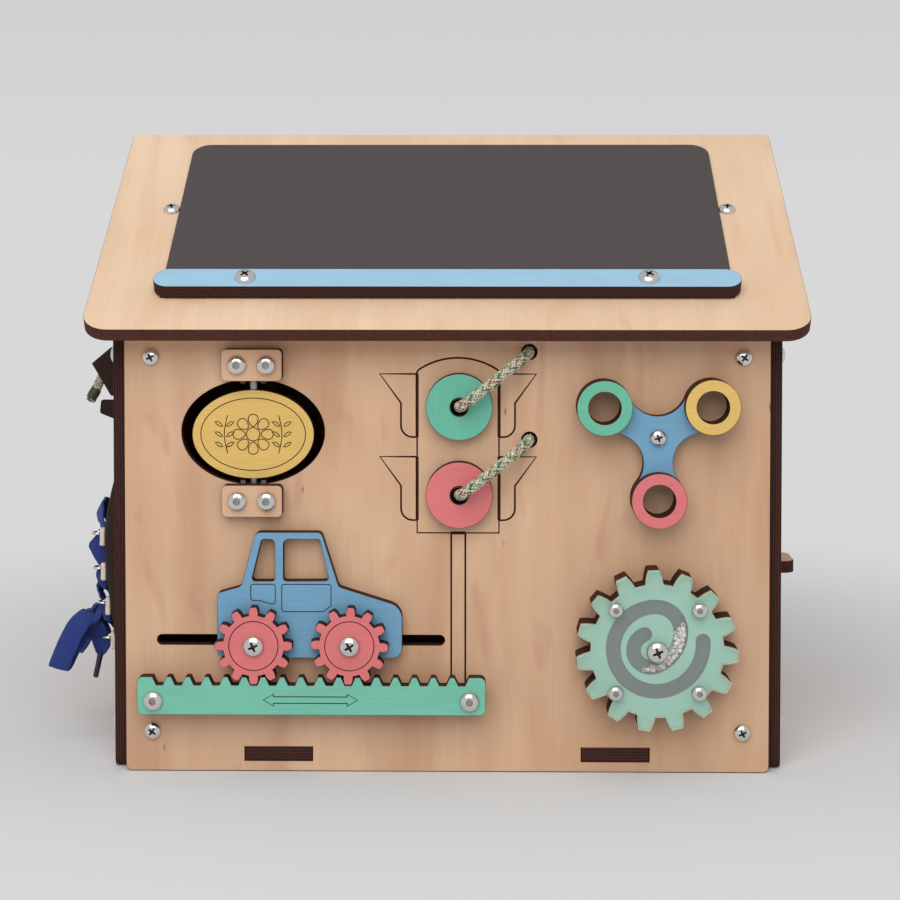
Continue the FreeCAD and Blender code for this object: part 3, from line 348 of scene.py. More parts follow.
def stainFinish(name, colour, turn):
    # Stained and waxed face: the fibres show through, a shade deeper in the pores
    f = Finish(name)
    fibres = f.noise(stain["fibres"], turn, 3.0, 0.6)
    clouds = f.noise(stain["clouds"], turn, 2.0, 0.5, 0.5)
    specks = f.noise(stain["specks"], turn, 1.0, 0.5)
    share = f.weigh(f.spread(fibres, 0.3, 0.7), f.spread(clouds, 0.3, 0.7), stain["fibreShare"])
    face = f.mix(share, shaded(colour, stain["deep"]), tint(*colour))
    worn = f.spread(specks, 0.74, 0.8, 0.0, stain["worn"])
    f.paint(f.mix(worn, face, tint(*stain["wear"])), f.spread(fibres, 0.3, 0.7, *stain["rough"]))
    f.bump(fibres, *stain["bump"])
    return f.material


def edgeFinish(name, look):
    # Laser-burnt edge: the glue lines between the plies show as thin reddish lines
    f = Finish(name, **{"Roughness": 0.8, "Specular IOR Level": 0.2})
    across = f.out("Attribute", {"attribute_name": "across"}, None, "Fac")
    shifted = f.maths("ADD", across, f.spread(f.noise(14), 0.0, 1.0, -0.025, 0.025))
    ply = f.maths("FRACT", f.maths("MULTIPLY", shifted, look["plies"]))
    line = f.maths("ABSOLUTE", f.maths("SUBTRACT", ply, 0.5))
    scorch = f.noise(1.1, detail=3.0, roughness=0.6)
    colour = f.mix(f.spread(scorch, 0.3, 0.7), tint(*look["deep"]), tint(*look["burnt"]))
    f.paint(f.mix(f.spread(line, 0.36, 0.48, 0.0, 0.6), colour, tint(*look["line"])))
    f.bump(f.maths("ADD", line, scorch), 0.4, 0.25)
    return f.material


def scoreFinish(deep, pale):
    # The floor of an engraved line
    f = Finish("scored_line", **{"Roughness": 0.9, "Specular IOR Level": 0.1})
    f.paint(f.mix(f.spread(f.noise(0.9, detail=2.0, roughness=0.6), 0.3, 0.7), tint(*deep), tint(*pale)))
    return f.material


def plainFinish(name, colour, rough, size, depth, shade=0.88, swing=(0.85, 1.15), fine=0.55, raised=0.3,
                **more):
    # One colour with a fine mottle of that size, and a matching bump
    f = Finish(name, **more)
    mottle = f.noise(size, detail=3.0, roughness=fine)
    f.paint(f.mix(f.spread(mottle, 0.3, 0.7), shaded(colour, shade), tint(*colour)),
            f.spread(mottle, 0.3, 0.7, rough * swing[0], min(1.0, rough * swing[1])))
    f.bump(mottle, raised, depth)
    return f.material


def metalFinish(name, colour, rough):
    # Plated steel with fine turning marks
    return plainFinish(name, colour, rough, 0.5, 0.05, 0.82, (0.75, 1.4), 0.6, 0.12, Metallic=1.0)


def yarnFinish(name, pale, deep):
    # Spun yarn: fine fibres in two shades
    f = Finish(name, **{"Roughness": 0.9, "Sheen Weight": 0.15})
    fibres = f.noise(0.55, roughness=0.6)
    f.paint(f.mix(f.spread(fibres, 0.4, 0.62), tint(*deep), tint(*pale)))
    f.bump(fibres, 0.6, 0.15)
    return f.material


def laceFinish(name, deep, pale, fuzzy):
    # Flat woven lace: chevrons of yarn along its length
    f = Finish(name, **{"Roughness": 0.8, "Sheen Weight": 0.08})
    parts = f.add("SeparateXYZ", None, {0: f.out("UVMap", {"uv_map": "UVMap"})}).outputs
    ribs = f.maths("FRACT", f.maths("MULTIPLY", parts[0], 0.42))
    folded = f.maths("ABSOLUTE", f.maths("SUBTRACT", ribs, 0.5))
    slanted = f.maths("ADD", f.maths("MULTIPLY", folded, 2.4), parts[1])
    yarn = f.spread(f.maths("SINE", f.maths("MULTIPLY", slanted, 7.5)), -1.0, 1.0)
    fuzz = f.noise(0.6, roughness=0.6)
    colour = f.mix(yarn, tint(*deep), tint(*pale))
    f.paint(f.mix(f.spread(fuzz, 0.35, 0.75, 0.0, 0.35), colour, tint(*fuzzy)))
    f.bump(f.maths("ADD", yarn, fuzz), 0.7, 0.3)
    return f.material


def clearFinish(name, colour, alpha, rough):
    # Clear sheet: mostly see-through with a sharp gloss
    return Finish(name, Alpha=alpha, Roughness=rough, **{
        "Base Color": tint(*colour), "Coat Weight": 1.0, "Coat Roughness": 0.03}).material


def beadFinish(deep, middle, pale):
    # Small glass beads, each in a shade of its own
    f = Finish("bead_glass", **{"Roughness": 0.18, "Coat Weight": 0.6})
    shade = f.out("Attribute", {"attribute_name": "beadShade"}, None, "Fac")
    colour = f.mix(f.spread(shade, 0.0, 0.6), tint(*deep), tint(*middle))
    f.paint(f.mix(f.spread(shade, 0.75, 1.0), colour, tint(*pale)))
    return f.material


slateLook = {"Specular IOR Level": 0.25}
hideLook = {"Specular IOR Level": 0.2}

burntEdge = edgeFinish("burnt_edge", edgeLook)
roofEdge = edgeFinish("roof_edge", {**edgeLook, "burnt": (84, 50, 39), "deep": (58, 32, 25)})
scored = scoreFinish((48, 21, 12), (74, 36, 22))
wallFace = woodFinish("wall_birch", wallWood, upright)
floorFace = woodFinish("floor_birch", wallWood, sideways)
# The roof faces use the paler birch, partly painted light
frontRoofFace = woodFinish("front_roof_birch_painted_light", roofWoodPaintedLight, upFrontRoof)
backRoofFace = woodFinish("back_roof_birch_painted_light", roofWoodPaintedLight, upBackRoof)
blockFace = woodFinish("block_pine", blockWood, upright)
discMint = stainFinish("disc_mint_stain", (98, 181, 155), upright)
mint, paleMint, pink, blue, paleBlue, green, yellow = (
    stainFinish(name + "_stain", colour, sideways) for name, colour in (
        ("mint", (113, 190, 166)), ("pale_mint", (144, 196, 174)), ("pink", (216, 113, 114)),
        ("blue", (108, 158, 190)), ("pale_blue", (152, 193, 216)), ("green", (100, 182, 152)),
        ("yellow", (220, 181, 98))))
# The recess and socket steels are darker copies of the plated steel: painted shade on the walls of the recesses in the
# heads
steel, recessShadeSteel, socketShadeSteel, dullSteel, chrome, blackMetal = (metalFinish(*look) for look in (
    ("plated_steel", (228, 226, 222), 0.17), ("recess_painted_shade", (92, 88, 85), 0.4),
    ("socket_painted_shade", (168, 165, 160), 0.3), ("dull_steel", (170, 168, 164), 0.34),
    ("ring_chrome", (224, 224, 224), 0.12), ("black_nickel", (58, 57, 58), 0.14)))
boardEdge = plainFinish("board_edge", (40, 37, 36), 0.7, 1.5, 0.05)
slate = plainFinish("chalkboard_film", (78, 71, 71), 0.9, 6.0, 0.03, 0.93, **slateLook)
greyPaint = plainFinish("grey_paint", (97, 88, 98), 0.6, 2.0, 0.05)
darkHide = plainFinish("dark_hide", (45, 31, 26), 0.75, 0.9, 0.25, 0.7, **hideLook)
creamHide = plainFinish("cream_hide", (226, 208, 196), 0.7, 1.2, 0.15)
agletPlastic = plainFinish("aglet_plastic", (42, 26, 58), 0.25, 1.0, 0.02)
meltedYarn = plainFinish("melted_yarn", (66, 68, 50), 0.4, 0.9, 0.35, 0.35)
# The core yarn is dark as painted shade, seen in the gaps between the braided yarns
ropeYarns = [yarnFinish(*look) for look in (
    ("white_yarn", (232, 227, 204), (138, 134, 110)), ("core_painted_shade_yarn", (58, 58, 44), (34, 36, 26)),
    ("green_yarn", (52, 128, 82), (26, 84, 50)), ("red_yarn", (196, 58, 74), (138, 32, 46)),
    ("grey_yarn", (160, 162, 134), (84, 88, 66)))]
laceYarn = laceFinish("blue_weave", (13, 32, 92), (32, 64, 152), (18, 40, 112))
clearFace = clearFinish("clear_face", (214, 236, 226), 0.13, 0.06)
# The cover's rims are cream and half opaque: a painted highlight for light caught in the clear sheet's cut edges
clearEdgeHighlight = clearFinish("clear_edge_painted_highlight", (228, 226, 204), 0.6, 0.2)
beadGlass = beadFinish((232, 204, 196), (236, 224, 210), (244, 236, 228))
print("finishes laid out")


# Mesh helpers

def linked(name, data):
    made = bpy.data.objects.new(name, data)
    bpy.context.collection.objects.link(made)
    return made


def meshFrom(name, bm):
    mesh = bpy.data.meshes.new(name)
    bm.to_mesh(mesh)
    bm.free()
    return mesh


def meshObject(name, bm, finishes, smooth=22):
    mesh = meshFrom(name, bm)
    for finish in finishes:
        mesh.materials.append(finish)
    mesh.polygons.foreach_set("use_smooth", [True] * len(mesh.polygons))
    mesh.set_sharp_from_angle(angle=radians(smooth))
    return linked(name, mesh)


def settle(piece, body, slotName, *replaced):
    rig.ride(piece, body)
    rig.slot(piece, slotName)
    if replaced:
        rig.replaces(piece, *replaced)
    return piece


def islandsOf(bm):
    # Joined groups of vertices, in the order of their first vertex
    waiting = set(bm.verts)
    islands = []
    for first in bm.verts:
        if first not in waiting:
            continue
        waiting.discard(first)
        island = [first]
        for found in island:
            for vert in (vert for edge in found.link_edges for vert in edge.verts):
                if vert in waiting:
                    waiting.discard(vert)
                    island.append(vert)
        islands.append(island)
    return islands


def mergedCopy(node):
    bm = bmesh.new()
    bm.from_mesh(nodes[node].data)
    bmesh.ops.remove_doubles(bm, verts=bm.verts, dist=1e-6)
    return bm


def middleOf(island):
    return sum((vert.co for vert in island), Vector()) / len(island)


def seatsOf(node, planes):
    # Where each solid of the node stands: its wall plane, its place on it and its two heights
    copy = mergedCopy(node)
    for island in islandsOf(copy):
        middle = middleOf(island)
        plane = max(planes, key=lambda p: (p.inverted() @ middle).z)
        local = [plane.inverted() @ vert.co for vert in island]
        (x0, x1), (y0, y1), (low, high) = ((min(p[axis] for p in local), max(p[axis] for p in local))
                                           for axis in range(3))
        yield plane, (x0 + x1) / 2, (y0 + y1) / 2, low, high
    copy.free()


def applied(piece):
    # The piece's mesh with its modifiers in it
    mesh = bpy.data.meshes.new_from_object(piece.evaluated_get(bpy.context.evaluated_depsgraph_get()))
    piece.modifiers.clear()
    piece.data = mesh
    return piece


def shadeFlat(piece, indices):
    # The broad faces of a sheet are flat, so they don't share the round of their rims
    for polygon in piece.data.polygons:
        if polygon.material_index in indices:
            polygon.use_smooth = False


def cutAway(piece, tool, finishIndex, smooth=16, flat=(0, 2)):
    # Takes the tool out of the piece. The walls it leaves get the finish at that index.
    tool.data.materials.clear()
    for finish in piece.data.materials:
        tool.data.materials.append(finish)
    tool.data.polygons.foreach_set("material_index", [finishIndex] * len(tool.data.polygons))
    cut = piece.modifiers.new("cut", "BOOLEAN")
    cut.operation = "DIFFERENCE"
    cut.solver = "EXACT"
    cut.use_self = True
    cut.object = tool
    applied(piece)
    piece.data.set_sharp_from_angle(angle=radians(smooth))
    shadeFlat(piece, flat)
    bpy.data.objects.remove(tool)


def sheetPiece(node, plane, finishes, body, slotName, outerOnly=False, rim=0.18, name=None, smooth=16):
    # A cut sheet: the node's outline with its rims eased, and face, edge and back finishes
    out = plane.to_3x3() @ Vector((0, 0, 1))
    bm = mergedCopy(node)
    bmesh.ops.dissolve_limit(bm, angle_limit=radians(0.3), verts=bm.verts, edges=bm.edges)
    rims = [edge for edge in bm.edges if len(edge.link_faces) == 2
            and sum(abs(face.normal.dot(out)) > 0.9 for face in edge.link_faces) == 1
            and not (outerOnly and any(face.normal.dot(out) < -0.9 for face in edge.link_faces))]
    eased(bm, rims, rim)
    across = bm.verts.layers.float.new("across")
    for island in islandsOf(bm):
        heights = [vert.co.dot(out) for vert in island]
        low, high = min(heights), max(heights)
        for vert, height in zip(island, heights):
            vert[across] = (height - low) / (high - low)
    for face in bm.faces:
        facing = face.normal.dot(out)
        face.material_index = 0 if facing > 0.95 else 2 if facing < -0.95 else 1
    piece = meshObject(name or node + "_cut", bm, finishes, smooth)
    shadeFlat(piece, (0, 2))
    return settle(piece, body, slotName, node)


def eased(bm, geom, offset, affect="EDGES", clamped=False):
    bmesh.ops.bevel(bm, geom=geom, offset=offset * mm, offset_type="OFFSET", affect=affect, segments=2,
                    profile=0.5, material=-1, clamp_overlap=clamped)


def spun(points, steps):
    # Turns (radius, height) points about the z axis; the first and last may lie on it
    bm = bmesh.new()
    verts = [bm.verts.new((radius * mm, 0, height * mm)) for radius, height in points]
    edges = [bm.edges.new(pair) for pair in zip(verts, verts[1:])]
    bmesh.ops.spin(bm, geom=verts + edges, cent=(0, 0, 0), axis=(0, 0, 1), angle=tau, steps=steps,
                   use_merge=True, use_duplicate=False)
    bmesh.ops.remove_doubles(bm, verts=bm.verts, dist=1e-6)
    bmesh.ops.recalc_face_normals(bm, faces=bm.faces)
    return bm


def stoodAlong(bm, place, along):
    # Moves a spun shape to the place, with its axis along the direction
    turn = Vector((0, 0, 1)).rotation_difference(along).to_matrix().to_4x4()
    bmesh.ops.transform(bm, matrix=Matrix.Translation(place) @ turn, verts=bm.verts)
    return bm


def pour(bm, mesh, matrix):
    # Adds a copy of a mesh to bm, placed by the matrix, and gives back its vertices
    start = len(bm.verts)
    bm.from_mesh(mesh)
    bm.verts.ensure_lookup_table()
    bmesh.ops.transform(bm, matrix=matrix, verts=bm.verts[start:])
    return bm.verts[start:]


def newCurve(name, radius=0.0, resolution=0, finishes=()):
    curve = bpy.data.curves.new(name, "CURVE")
    curve.dimensions = "3D"
    curve.bevel_depth = radius
    curve.bevel_resolution = resolution
    curve.use_fill_caps = True
    for finish in finishes:
        curve.materials.append(finish)
    return curve


def addSpline(curve, kind, points):
    spline = curve.splines.new(kind)
    spline.points.add(len(points) - 1)
    for point, place in zip(spline.points, points):
        point.co = (*place, 1)
    return spline


def curveMesh(curve):
    helper = bpy.data.objects.new(curve.name, curve)
    mesh = bpy.data.meshes.new_from_object(helper)
    bpy.data.objects.remove(helper)
    return mesh


def sweptMesh(name, routes, radius, resolution, finishes):
    # One mesh of round yarns: routes holds (points, finish index)
    curve = newCurve(name, radius, resolution, finishes)
    for points, finish in routes:
        addSpline(curve, "POLY", points).material_index = finish
    return curveMesh(curve)


def placesOn(plane, route):
    return [plane @ (Vector(place) * mm) for place in route]


print("helpers ready")


# Floor, background and lamp

studio = {"floor": (216, 218, 220), "sky": (216, 216, 216), "zenith": (205, 205, 205), "risen": 0.14,
          "reach": 9, "low": -0.0003, "near": 0.2, "far": 0.6, "worldLevel": 0.58,
          "keyPower": 24.4, "keySize": 1.6, "keyPlace": (-0.18, -1.5, 1.35), "keyAim": (0, 0, 0.12)}


def seenBy(nodeTree):
    # 1 for camera, glossy and transmission rays
    rays = nodeTree.add("LightPath").outputs
    return nodeTree.maths("MAXIMUM", rays["Is Camera Ray"], nodeTree.maths(
        "MAXIMUM", rays["Is Glossy Ray"], rays["Is Transmission Ray"]))


def makeFloor():
    bm = bmesh.new()
    bmesh.ops.create_circle(bm, cap_ends=True, segments=96, radius=studio["reach"])
    floor = meshObject("floor", bm, [])
    floor.location.z = studio["low"]
    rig.stage(floor)
    f = Finish("floor", **{"Base Color": tint(*studio["floor"]), "Roughness": 0.9})
    away = f.out("VectorMath", {"operation": "LENGTH"}, {0: f.out("TexCoord", socket="Object")}, "Value")
    share = f.out("MapRange", {"interpolation_type": "SMOOTHSTEP"},
                  {"Value": away, "From Min": studio["near"], "From Max": studio["far"]})
    glow = f.out("Emission", None, {"Color": tint(*studio["sky"]), "Strength": 1.0})
    f.feed(f.surface, f.out("MixShader", None, {
        0: f.maths("MULTIPLY", share, seenBy(f)), 1: f.shader.outputs[0], 2: glow}))
    floor.data.materials.append(f.material)


def makeWorld():
    world = bpy.data.worlds.new("studio")
    bpy.context.scene.world = world
    world.use_nodes = True
    w = Nodes(world.node_tree)
    light = w.out("Background", None, {"Color": (1, 1, 1, 1), "Strength": studio["worldLevel"]})
    rise = w.out("SeparateXYZ", None, {0: w.out("TexCoord", socket="Generated")}, 2)
    shade = w.mix(w.spread(rise, 0.0, studio["risen"]), tint(*studio["sky"]), tint(*studio["zenith"]))
    wall = w.out("Background", None, {"Color": shade, "Strength": 1.0})
    w.add("OutputWorld", None, {"Surface": w.out("MixShader", None, {0: seenBy(w), 1: light, 2: wall})})


def makeLamp():
    key = bpy.data.lights.new("key", "AREA")
    key.energy = studio["keyPower"]
    key.size = studio["keySize"]
    lamp = linked("key", key)
    lamp.location = studio["keyPlace"]
    aim = Vector(studio["keyAim"]) - Vector(studio["keyPlace"])
    lamp.rotation_euler = aim.to_track_quat("-Z", "Y").to_euler()


bpy.context.scene.view_settings.view_transform = "Standard"
makeFloor()
makeWorld()
makeLamp()
print("studio lit")


# Cords: the ropes of the traffic light, the tie rope and the lace

def routeLine(points):
    # Points read along the smooth spline that has these control points
    curve = newCurve("route")
    curve.resolution_u = 16
    spline = addSpline(curve, "NURBS", points)
    spline.order_u = 3
    spline.use_endpoint_u = True
    return [vert.co.copy() for vert in curveMesh(curve).vertices]


def evenly(line, count):
    # The same line as count + 1 points, an equal length apart
    lengths = [0.0]
    for a, b in zip(line, line[1:]):
        lengths.append(lengths[-1] + (b - a).length)
    result = []
    k = 0
    for i in range(count + 1):
        target = lengths[-1] * i / count
        while k < len(line) - 2 and lengths[k + 1] < target:
            k += 1
        share = (target - lengths[k]) / max(1e-9, lengths[k + 1] - lengths[k])
        result.append(line[k].lerp(line[k + 1], min(1.0, share)))
    return result, lengths[-1]


def heading(line, i):
    return (line[min(i + 1, len(line) - 1)] - line[max(i - 1, 0)]).normalized()


def framesAlong(line):
    # Two square directions at each point, turned as little as they can be
    frames = []
    side = None
    for i in range(len(line)):
        ahead = heading(line, i)
        side = ahead.orthogonal() if side is None else side - ahead * side.dot(ahead)
        side.normalize()
        frames.append((side.copy(), ahead.cross(side)))
    return frames


braid = {"carriers": 8, "lay": 15.0, "yarn": 0.07, "apart": 0.15, "weave": 0.1, "step": 0.5, "core": 0.34,
         "green": ((-1, 0, 0), (-1, 0, 1), (1, 4, 0)), "red": ((1, 1, 0), (-1, 3, 1)),
         "grey": ((-1, 2, 0), (-1, 5, 1), (1, 3, 1), (1, 6, 0), (1, 7, 1), (-1, 7, 0))}


def braidedRope(name, points, diameter):
    # Pairs of yarns wind both ways round a dark core, over two and under two; the core's dark colour is painted shade
    # in the gaps between the yarns
    smooth = routeLine(points)
    line, length = evenly(smooth, int(evenly(smooth, 1)[1] / mm / braid["step"]))
    frames = framesAlong(line)
    yarn, carriers = diameter * braid["yarn"], braid["carriers"]
    kinds = {place: index for index, kind in enumerate(("green", "red", "grey"), 2) for place in braid[kind]}
    routes = []
    for way, carrier, half in product((-1, 1), range(carriers), (0, 1)):
        route = []
        for i, (place, (side, over)) in enumerate(zip(line, frames)):
            turns = length * i / (len(line) - 1) / (braid["lay"] * mm)
            angle = way * tau * (turns + carrier / carriers) + (half - 0.5) * braid["apart"]
            lift = way * cos(pi / 2 * (2 * turns * carriers - way * 0.5 + 2 * carrier))
            reach = diameter / 2 - yarn - diameter * braid["weave"] * (1 - lift) / 2
            route.append(place + (side * cos(angle) + over * sin(angle)) * reach)
        routes.append((route, kinds.get((way, carrier, half), 0)))
    bm = bmesh.new()
    bm.from_mesh(sweptMesh(name, routes, yarn, 1, ropeYarns))
    bm.from_mesh(sweptMesh(name, [(line, 1)], diameter * braid["core"], 3, ropeYarns))
    bmesh.ops.recalc_face_normals(bm, faces=bm.faces)
    return meshObject(name, bm, ropeYarns, 60), line, length


discRope = {
    "route": ((0.0, 0.5), (0.0, 8.5), (4.5, 12.8), (16.0, 13.3), (30.0, 10.0), (37.6, 5.6), (39.42, -1.5)),
    "shift": (31.2, 24.1), "thick": 5.2, "length": 55.0,
    "discs": {"upper": (5.6, 164.4), "lower": (5.6, 125.2)},
}


def discRopes():
    run, rise = discRope["shift"]
    span = hypot(run, rise)
    for name, (x, z) in discRope["discs"].items():
        points = placesOn(front, [(x + along * run / span, z + along * rise / span, out)
                                  for along, out in discRope["route"]])
        piece, line, length = braidedRope(name + "_rope_braid", points, discRope["thick"] * mm)
        settle(piece, "house", "rope_cord", name + "_rope")
        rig.cord(piece, exit=points[0], length=discRope["length"] * mm, diameter=discRope["thick"] * mm,
                far_end="object", stiffness="medium", lay="loose", path=line)
        print(name, "rope", round(length / mm, 1), "mm")


tieRope = {
    "route": ((-150.5, -29.0, 182.0), (-157.5, -29.0, 183.8), (-163.8, -29.5, 182.4), (-168.4, -30.0, 176.2),
              (-172.2, -30.7, 168.0), (-177.4, -31.5, 157.0)),
    "thick": 5.0, "length": 41.0, "uneven": 0.22, "sunk": 2.2,
    "tip": ((0, -4.6), (2.2, -4.6), (2.62, -3.8), (2.75, -1.6), (2.6, 0.6), (2.1, 2.0), (1.1, 2.8),
            (0, 3.0)),
}


def makeTieRope():
    points = placesOn(Matrix(), tieRope["route"])
    piece, line, length = braidedRope("tie_rope_braid", points, tieRope["thick"] * mm)
    settle(piece, "house", "rope_cord", "tie_rope")
    bm = spun(tieRope["tip"], 20)
    for vert in bm.verts:
        uneven = Vector((sin(vert.co.z * 2300), cos(vert.co.z * 2100), 0))
        vert.co += uneven * tieRope["uneven"] * mm
    along = (points[-1] - points[-2]).normalized()
    stoodAlong(bm, points[-1] - along * tieRope["sunk"] * mm, along)
    tip = settle(meshObject("melted_tip", bm, [meltedYarn], 60), "house", "rope_cord")
    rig.cord(piece, exit=points[0], length=tieRope["length"] * mm, diameter=tieRope["thick"] * mm,
            far_end="bare", stiffness="medium", lay="hanging", path=line, with_pieces=[tip])
    print("tie rope", round(length / mm, 1), "mm")


strip = {"cup": 0.5, "ripples": ((0.3, 0.9), (0.2, 2.1)), "narrowing": 0.1, "rounded": 0.3}


def ribbon(name, points, faces, width, thick, ends, steps=60):
    # A flat woven strip. faces holds (share, direction its broad side looks) along the line.
    line, length = evenly(routeLine(points), steps)
    bm = bmesh.new()
    bm.loops.layers.uv.new("UVMap")
    bmesh.ops.create_grid(bm, x_segments=6, y_segments=steps, size=0.5, calc_uvs=True)
    frames = []
    for i, place in enumerate(line):
        ahead, share = heading(line, i), i / steps
        before = max((face for face in faces if face[0] <= share), key=lambda face: face[0])
        after = min((face for face in faces if face[0] >= share), key=lambda face: face[0])
        gap = max(1e-6, after[0] - before[0])
        look = Vector(before[1]).lerp(Vector(after[1]), (share - before[0]) / gap)
        look = (look - ahead * look.dot(ahead)).normalized()
        frames.append((place, ahead.cross(look), look))
    for vert in bm.verts:
        i = round((vert.co.y + 0.5) * steps)
        place, side, look = frames[i]
        across = vert.co.x * 2
        end = min(1.0, min(i, steps - i) / (steps * strip["narrowing"]))
        half = width / 2 * (ends + (1 - ends) * sin(end * pi / 2)) * mm
        (broad, slow), (fine, quick) = strip["ripples"]
        ripple = (broad * sin(i * slow) + fine * sin(i * quick + across * 2)) * across
        vert.co = place + side * (across * half) - look * ((across * across * strip["cup"] + ripple) * mm)
    for loop in (loop for face in bm.faces for loop in face.loops):
        uv = loop[bm.loops.layers.uv.active].uv
        uv.x, uv.y = uv.x * width, uv.y * length / mm
    piece = meshObject(name, bm, [laceYarn], 60)
    thickness = piece.modifiers.new("thickness", "SOLIDIFY")
    thickness.thickness = thick * mm
    thickness.offset = 0
    rounded = piece.modifiers.new("rounded", "BEVEL")
    rounded.width = thick * strip["rounded"] * mm
    rounded.segments = 2
    applied(piece).data.set_sharp_from_angle(angle=radians(60))
    return piece, line, length


lace = {
    "width": 9.4, "thick": 1.1, "length": 78.0,
    "front": ((-163.5, -84.9, 61.5), (-164.5, -89.5, 62.8), (-168.8, -94.0, 62.8), (-172.8, -96.5, 57.3),
              (-176.0, -97.5, 50.3), (-179.0, -98.0, 43.0), (-180.6, -97.0, 38.4), (-179.2, -93.5, 39.8),
              (-175.9, -92.5, 47.6), (-171.5, -91.0, 54.3), (-166.8, -88.0, 57.4), (-163.2, -85.5, 54.5),
              (-161.6, -84.5, 49.8), (-163.0, -84.5, 43.6)),
    "frontFaces": ((0.0, (-0.6, -0.6, 0.6)), (0.1, (-0.4, -1, 0.5)), (0.22, (-0.1, -1, 0.2)),
                   (0.42, (0, -1, 0)),
                   (0.49, (-0.2, -0.1, -1)), (0.55, (0, 1, 0)), (0.8, (0, 1, 0.2)), (0.9, (0.2, 1, 0)),
                   (1.0, (0, 1, 0))),
    "back": ((-163.5, -71.1, 61.5), (-166.5, -64.0, 61.0), (-171.5, -58.0, 57.0), (-176.5, -54.5, 51.0),
             (-180.5, -54.5, 44.5), (-181.5, -59.0, 39.8), (-178.5, -63.5, 42.5), (-174.5, -67.5, 48.5),
             (-170.0, -71.0, 53.8), (-166.0, -74.5, 54.5), (-163.4, -76.0, 49.0), (-164.9, -76.0, 41.4)),
    "backFaces": ((0.0, (-0.6, 0.6, 0.6)), (0.14, (-0.5, 1, 0.5)), (0.3, (-0.1, 1, 0.1)), (0.4, (0, 1, 0)),
                  (0.46, (-0.2, -0.1, -1)), (0.53, (0, -1, 0)), (0.8, (0, -1, 0.2)), (0.9, (0.2, -1, 0)),
                  (1.0, (0, -1, 0))),
    "aglet": 3.0, "agletLength": 12.0, "sunk": 0.3,
    "agletFoot": ((0, 0), (0.9, 0), (1, 0.4), (1, 1.2), (0.86, 1.6)),
    "agletTop": ((0.86, 1), (0.7, 0.3), (0.4, 0), (0, 0)),
}


def laceEnds():
    half, long = lace["aglet"] / 2, lace["agletLength"]
    tipProfile = [(half * wide, high) for wide, high in lace["agletFoot"]]
    tipProfile += [(half * wide, long - low) for wide, low in lace["agletTop"]]
    for name in ("front", "back"):
        points = placesOn(Matrix(), lace[name])
        piece, line, length = ribbon("lace_" + name + "_ribbon", points, lace[name + "Faces"],
                                     lace["width"], lace["thick"], 0.4)
        settle(piece, "house", "blue_lace", "lace_" + name + "_end")
        along = (points[-1] - points[-2]).normalized()
        bm = stoodAlong(spun(tipProfile, 20), points[-1] - along * lace["sunk"] * mm, along)
        tip = meshObject("aglet_" + name, bm, [agletPlastic])
        settle(tip, "house", "aglet_plastic", "lace_aglets")
        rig.cord(piece, exit=points[0], length=lace["length"] * mm, diameter=lace["width"] * mm,
                far_end="fitting", stiffness="limp", lay="hanging", path=line, with_pieces=[tip])
        print("lace", name, round(length / mm, 1), "mm")


discRopes()
makeTieRope()
laceEnds()
print("cords laid")


# Sheets of plywood, film and leather

above = wallPlane((0, 0, 0), (1, 0, 0), (0, 1, 0))
sheets = (
    # Node, plane, finish of the face, body, slot, and what differs from a stained plywood piece
    ("front_panel", front, wallFace, "house", "wall_plywood", {"outerOnly": True}),
    ("back_panel", back, wallFace, "house", "wall_plywood", {"outerOnly": True}),
    ("left_side_panel", left, wallFace, "house", "wall_plywood", {"outerOnly": True}),
    ("right_side_panel", right, wallFace, "house", "wall_plywood", {"outerOnly": True}),
    ("floor_panel", above, floorFace, "house", "wall_plywood", {"back": floorFace}),
    ("front_roof_panel", frontRoof, frontRoofFace, "house", "roof_plywood",
     {"edge": roofEdge, "back": frontRoofFace}),
    ("back_roof_panel", backRoof, backRoofFace, "house", "roof_plywood",
     {"edge": roofEdge, "back": backRoofFace}),
    ("chalkboard_sheet", frontRoof, slate, "house", "chalkboard",
     {"edge": boardEdge, "back": slate, "rim": 0.1}),
    ("chalk_ledge", frontRoof, paleBlue, "house", "pale_blue_plywood"),
    ("corner_blocks", above, blockFace, "house", "block_wood", {"edge": blockFace, "back": blockFace}),
    ("roof_blocks", frontRoof, blockFace, "house", "block_wood", {"edge": blockFace, "back": blockFace}),
    ("upper_disc", front, discMint, "house", "mint_plywood"),
    ("lower_disc", front, pink, "house", "pink_plywood"),
    ("flip_sign", front, yellow, "sign", "yellow_plywood", {"back": yellow}),
    ("pin_bushes", front, greyPaint, "house", "grey_wood", {"back": greyPaint}),
    ("hinge_plates", front, wallFace, "house", "wall_plywood"),
    ("spinner_body", front, blue, "spinner", "blue_plywood"),
    ("yellow_ring", front, yellow, "spinner", "yellow_plywood"),
    ("green_ring", front, green, "spinner", "green_plywood"),
    ("pink_ring", front, pink, "spinner", "pink_plywood"),
    ("maze_back_gear", front, greyPaint, "maze", "dark_plywood"),
    ("maze_spiral", front, paleMint, "maze", "pale_mint_plywood"),
    ("gear_rack", front, mint, "house", "mint_plywood"),
    ("rack_spacers", front, wallFace, "house", "wall_plywood"),
    ("tractor_body", front, blue, "tractor", "blue_plywood"),
    ("rear_wheel", front, pink, "rear_wheel_body", "pink_plywood"),
    ("front_wheel", front, pink, "front_wheel_body", "pink_plywood"),
    ("slider_tab", above, wallFace, "slider", "wall_plywood"),
    ("slider_keeper", right, wallFace, "slider", "wall_plywood"),
    ("slider_rails", right, wallFace, "house", "wall_plywood"),
)
for node, plane, face, body, slotName, *more in sheets:
    form = {"edge": burntEdge, "back": wallFace, **dict(*more)}
    finishes = [face, form.pop("edge"), form.pop("back")]
    sheetPiece(node, plane, finishes, body, slotName, **form)
print("sheets cut")


# Engraved lines, in the front wall's plane

scoreDepth = 0.35


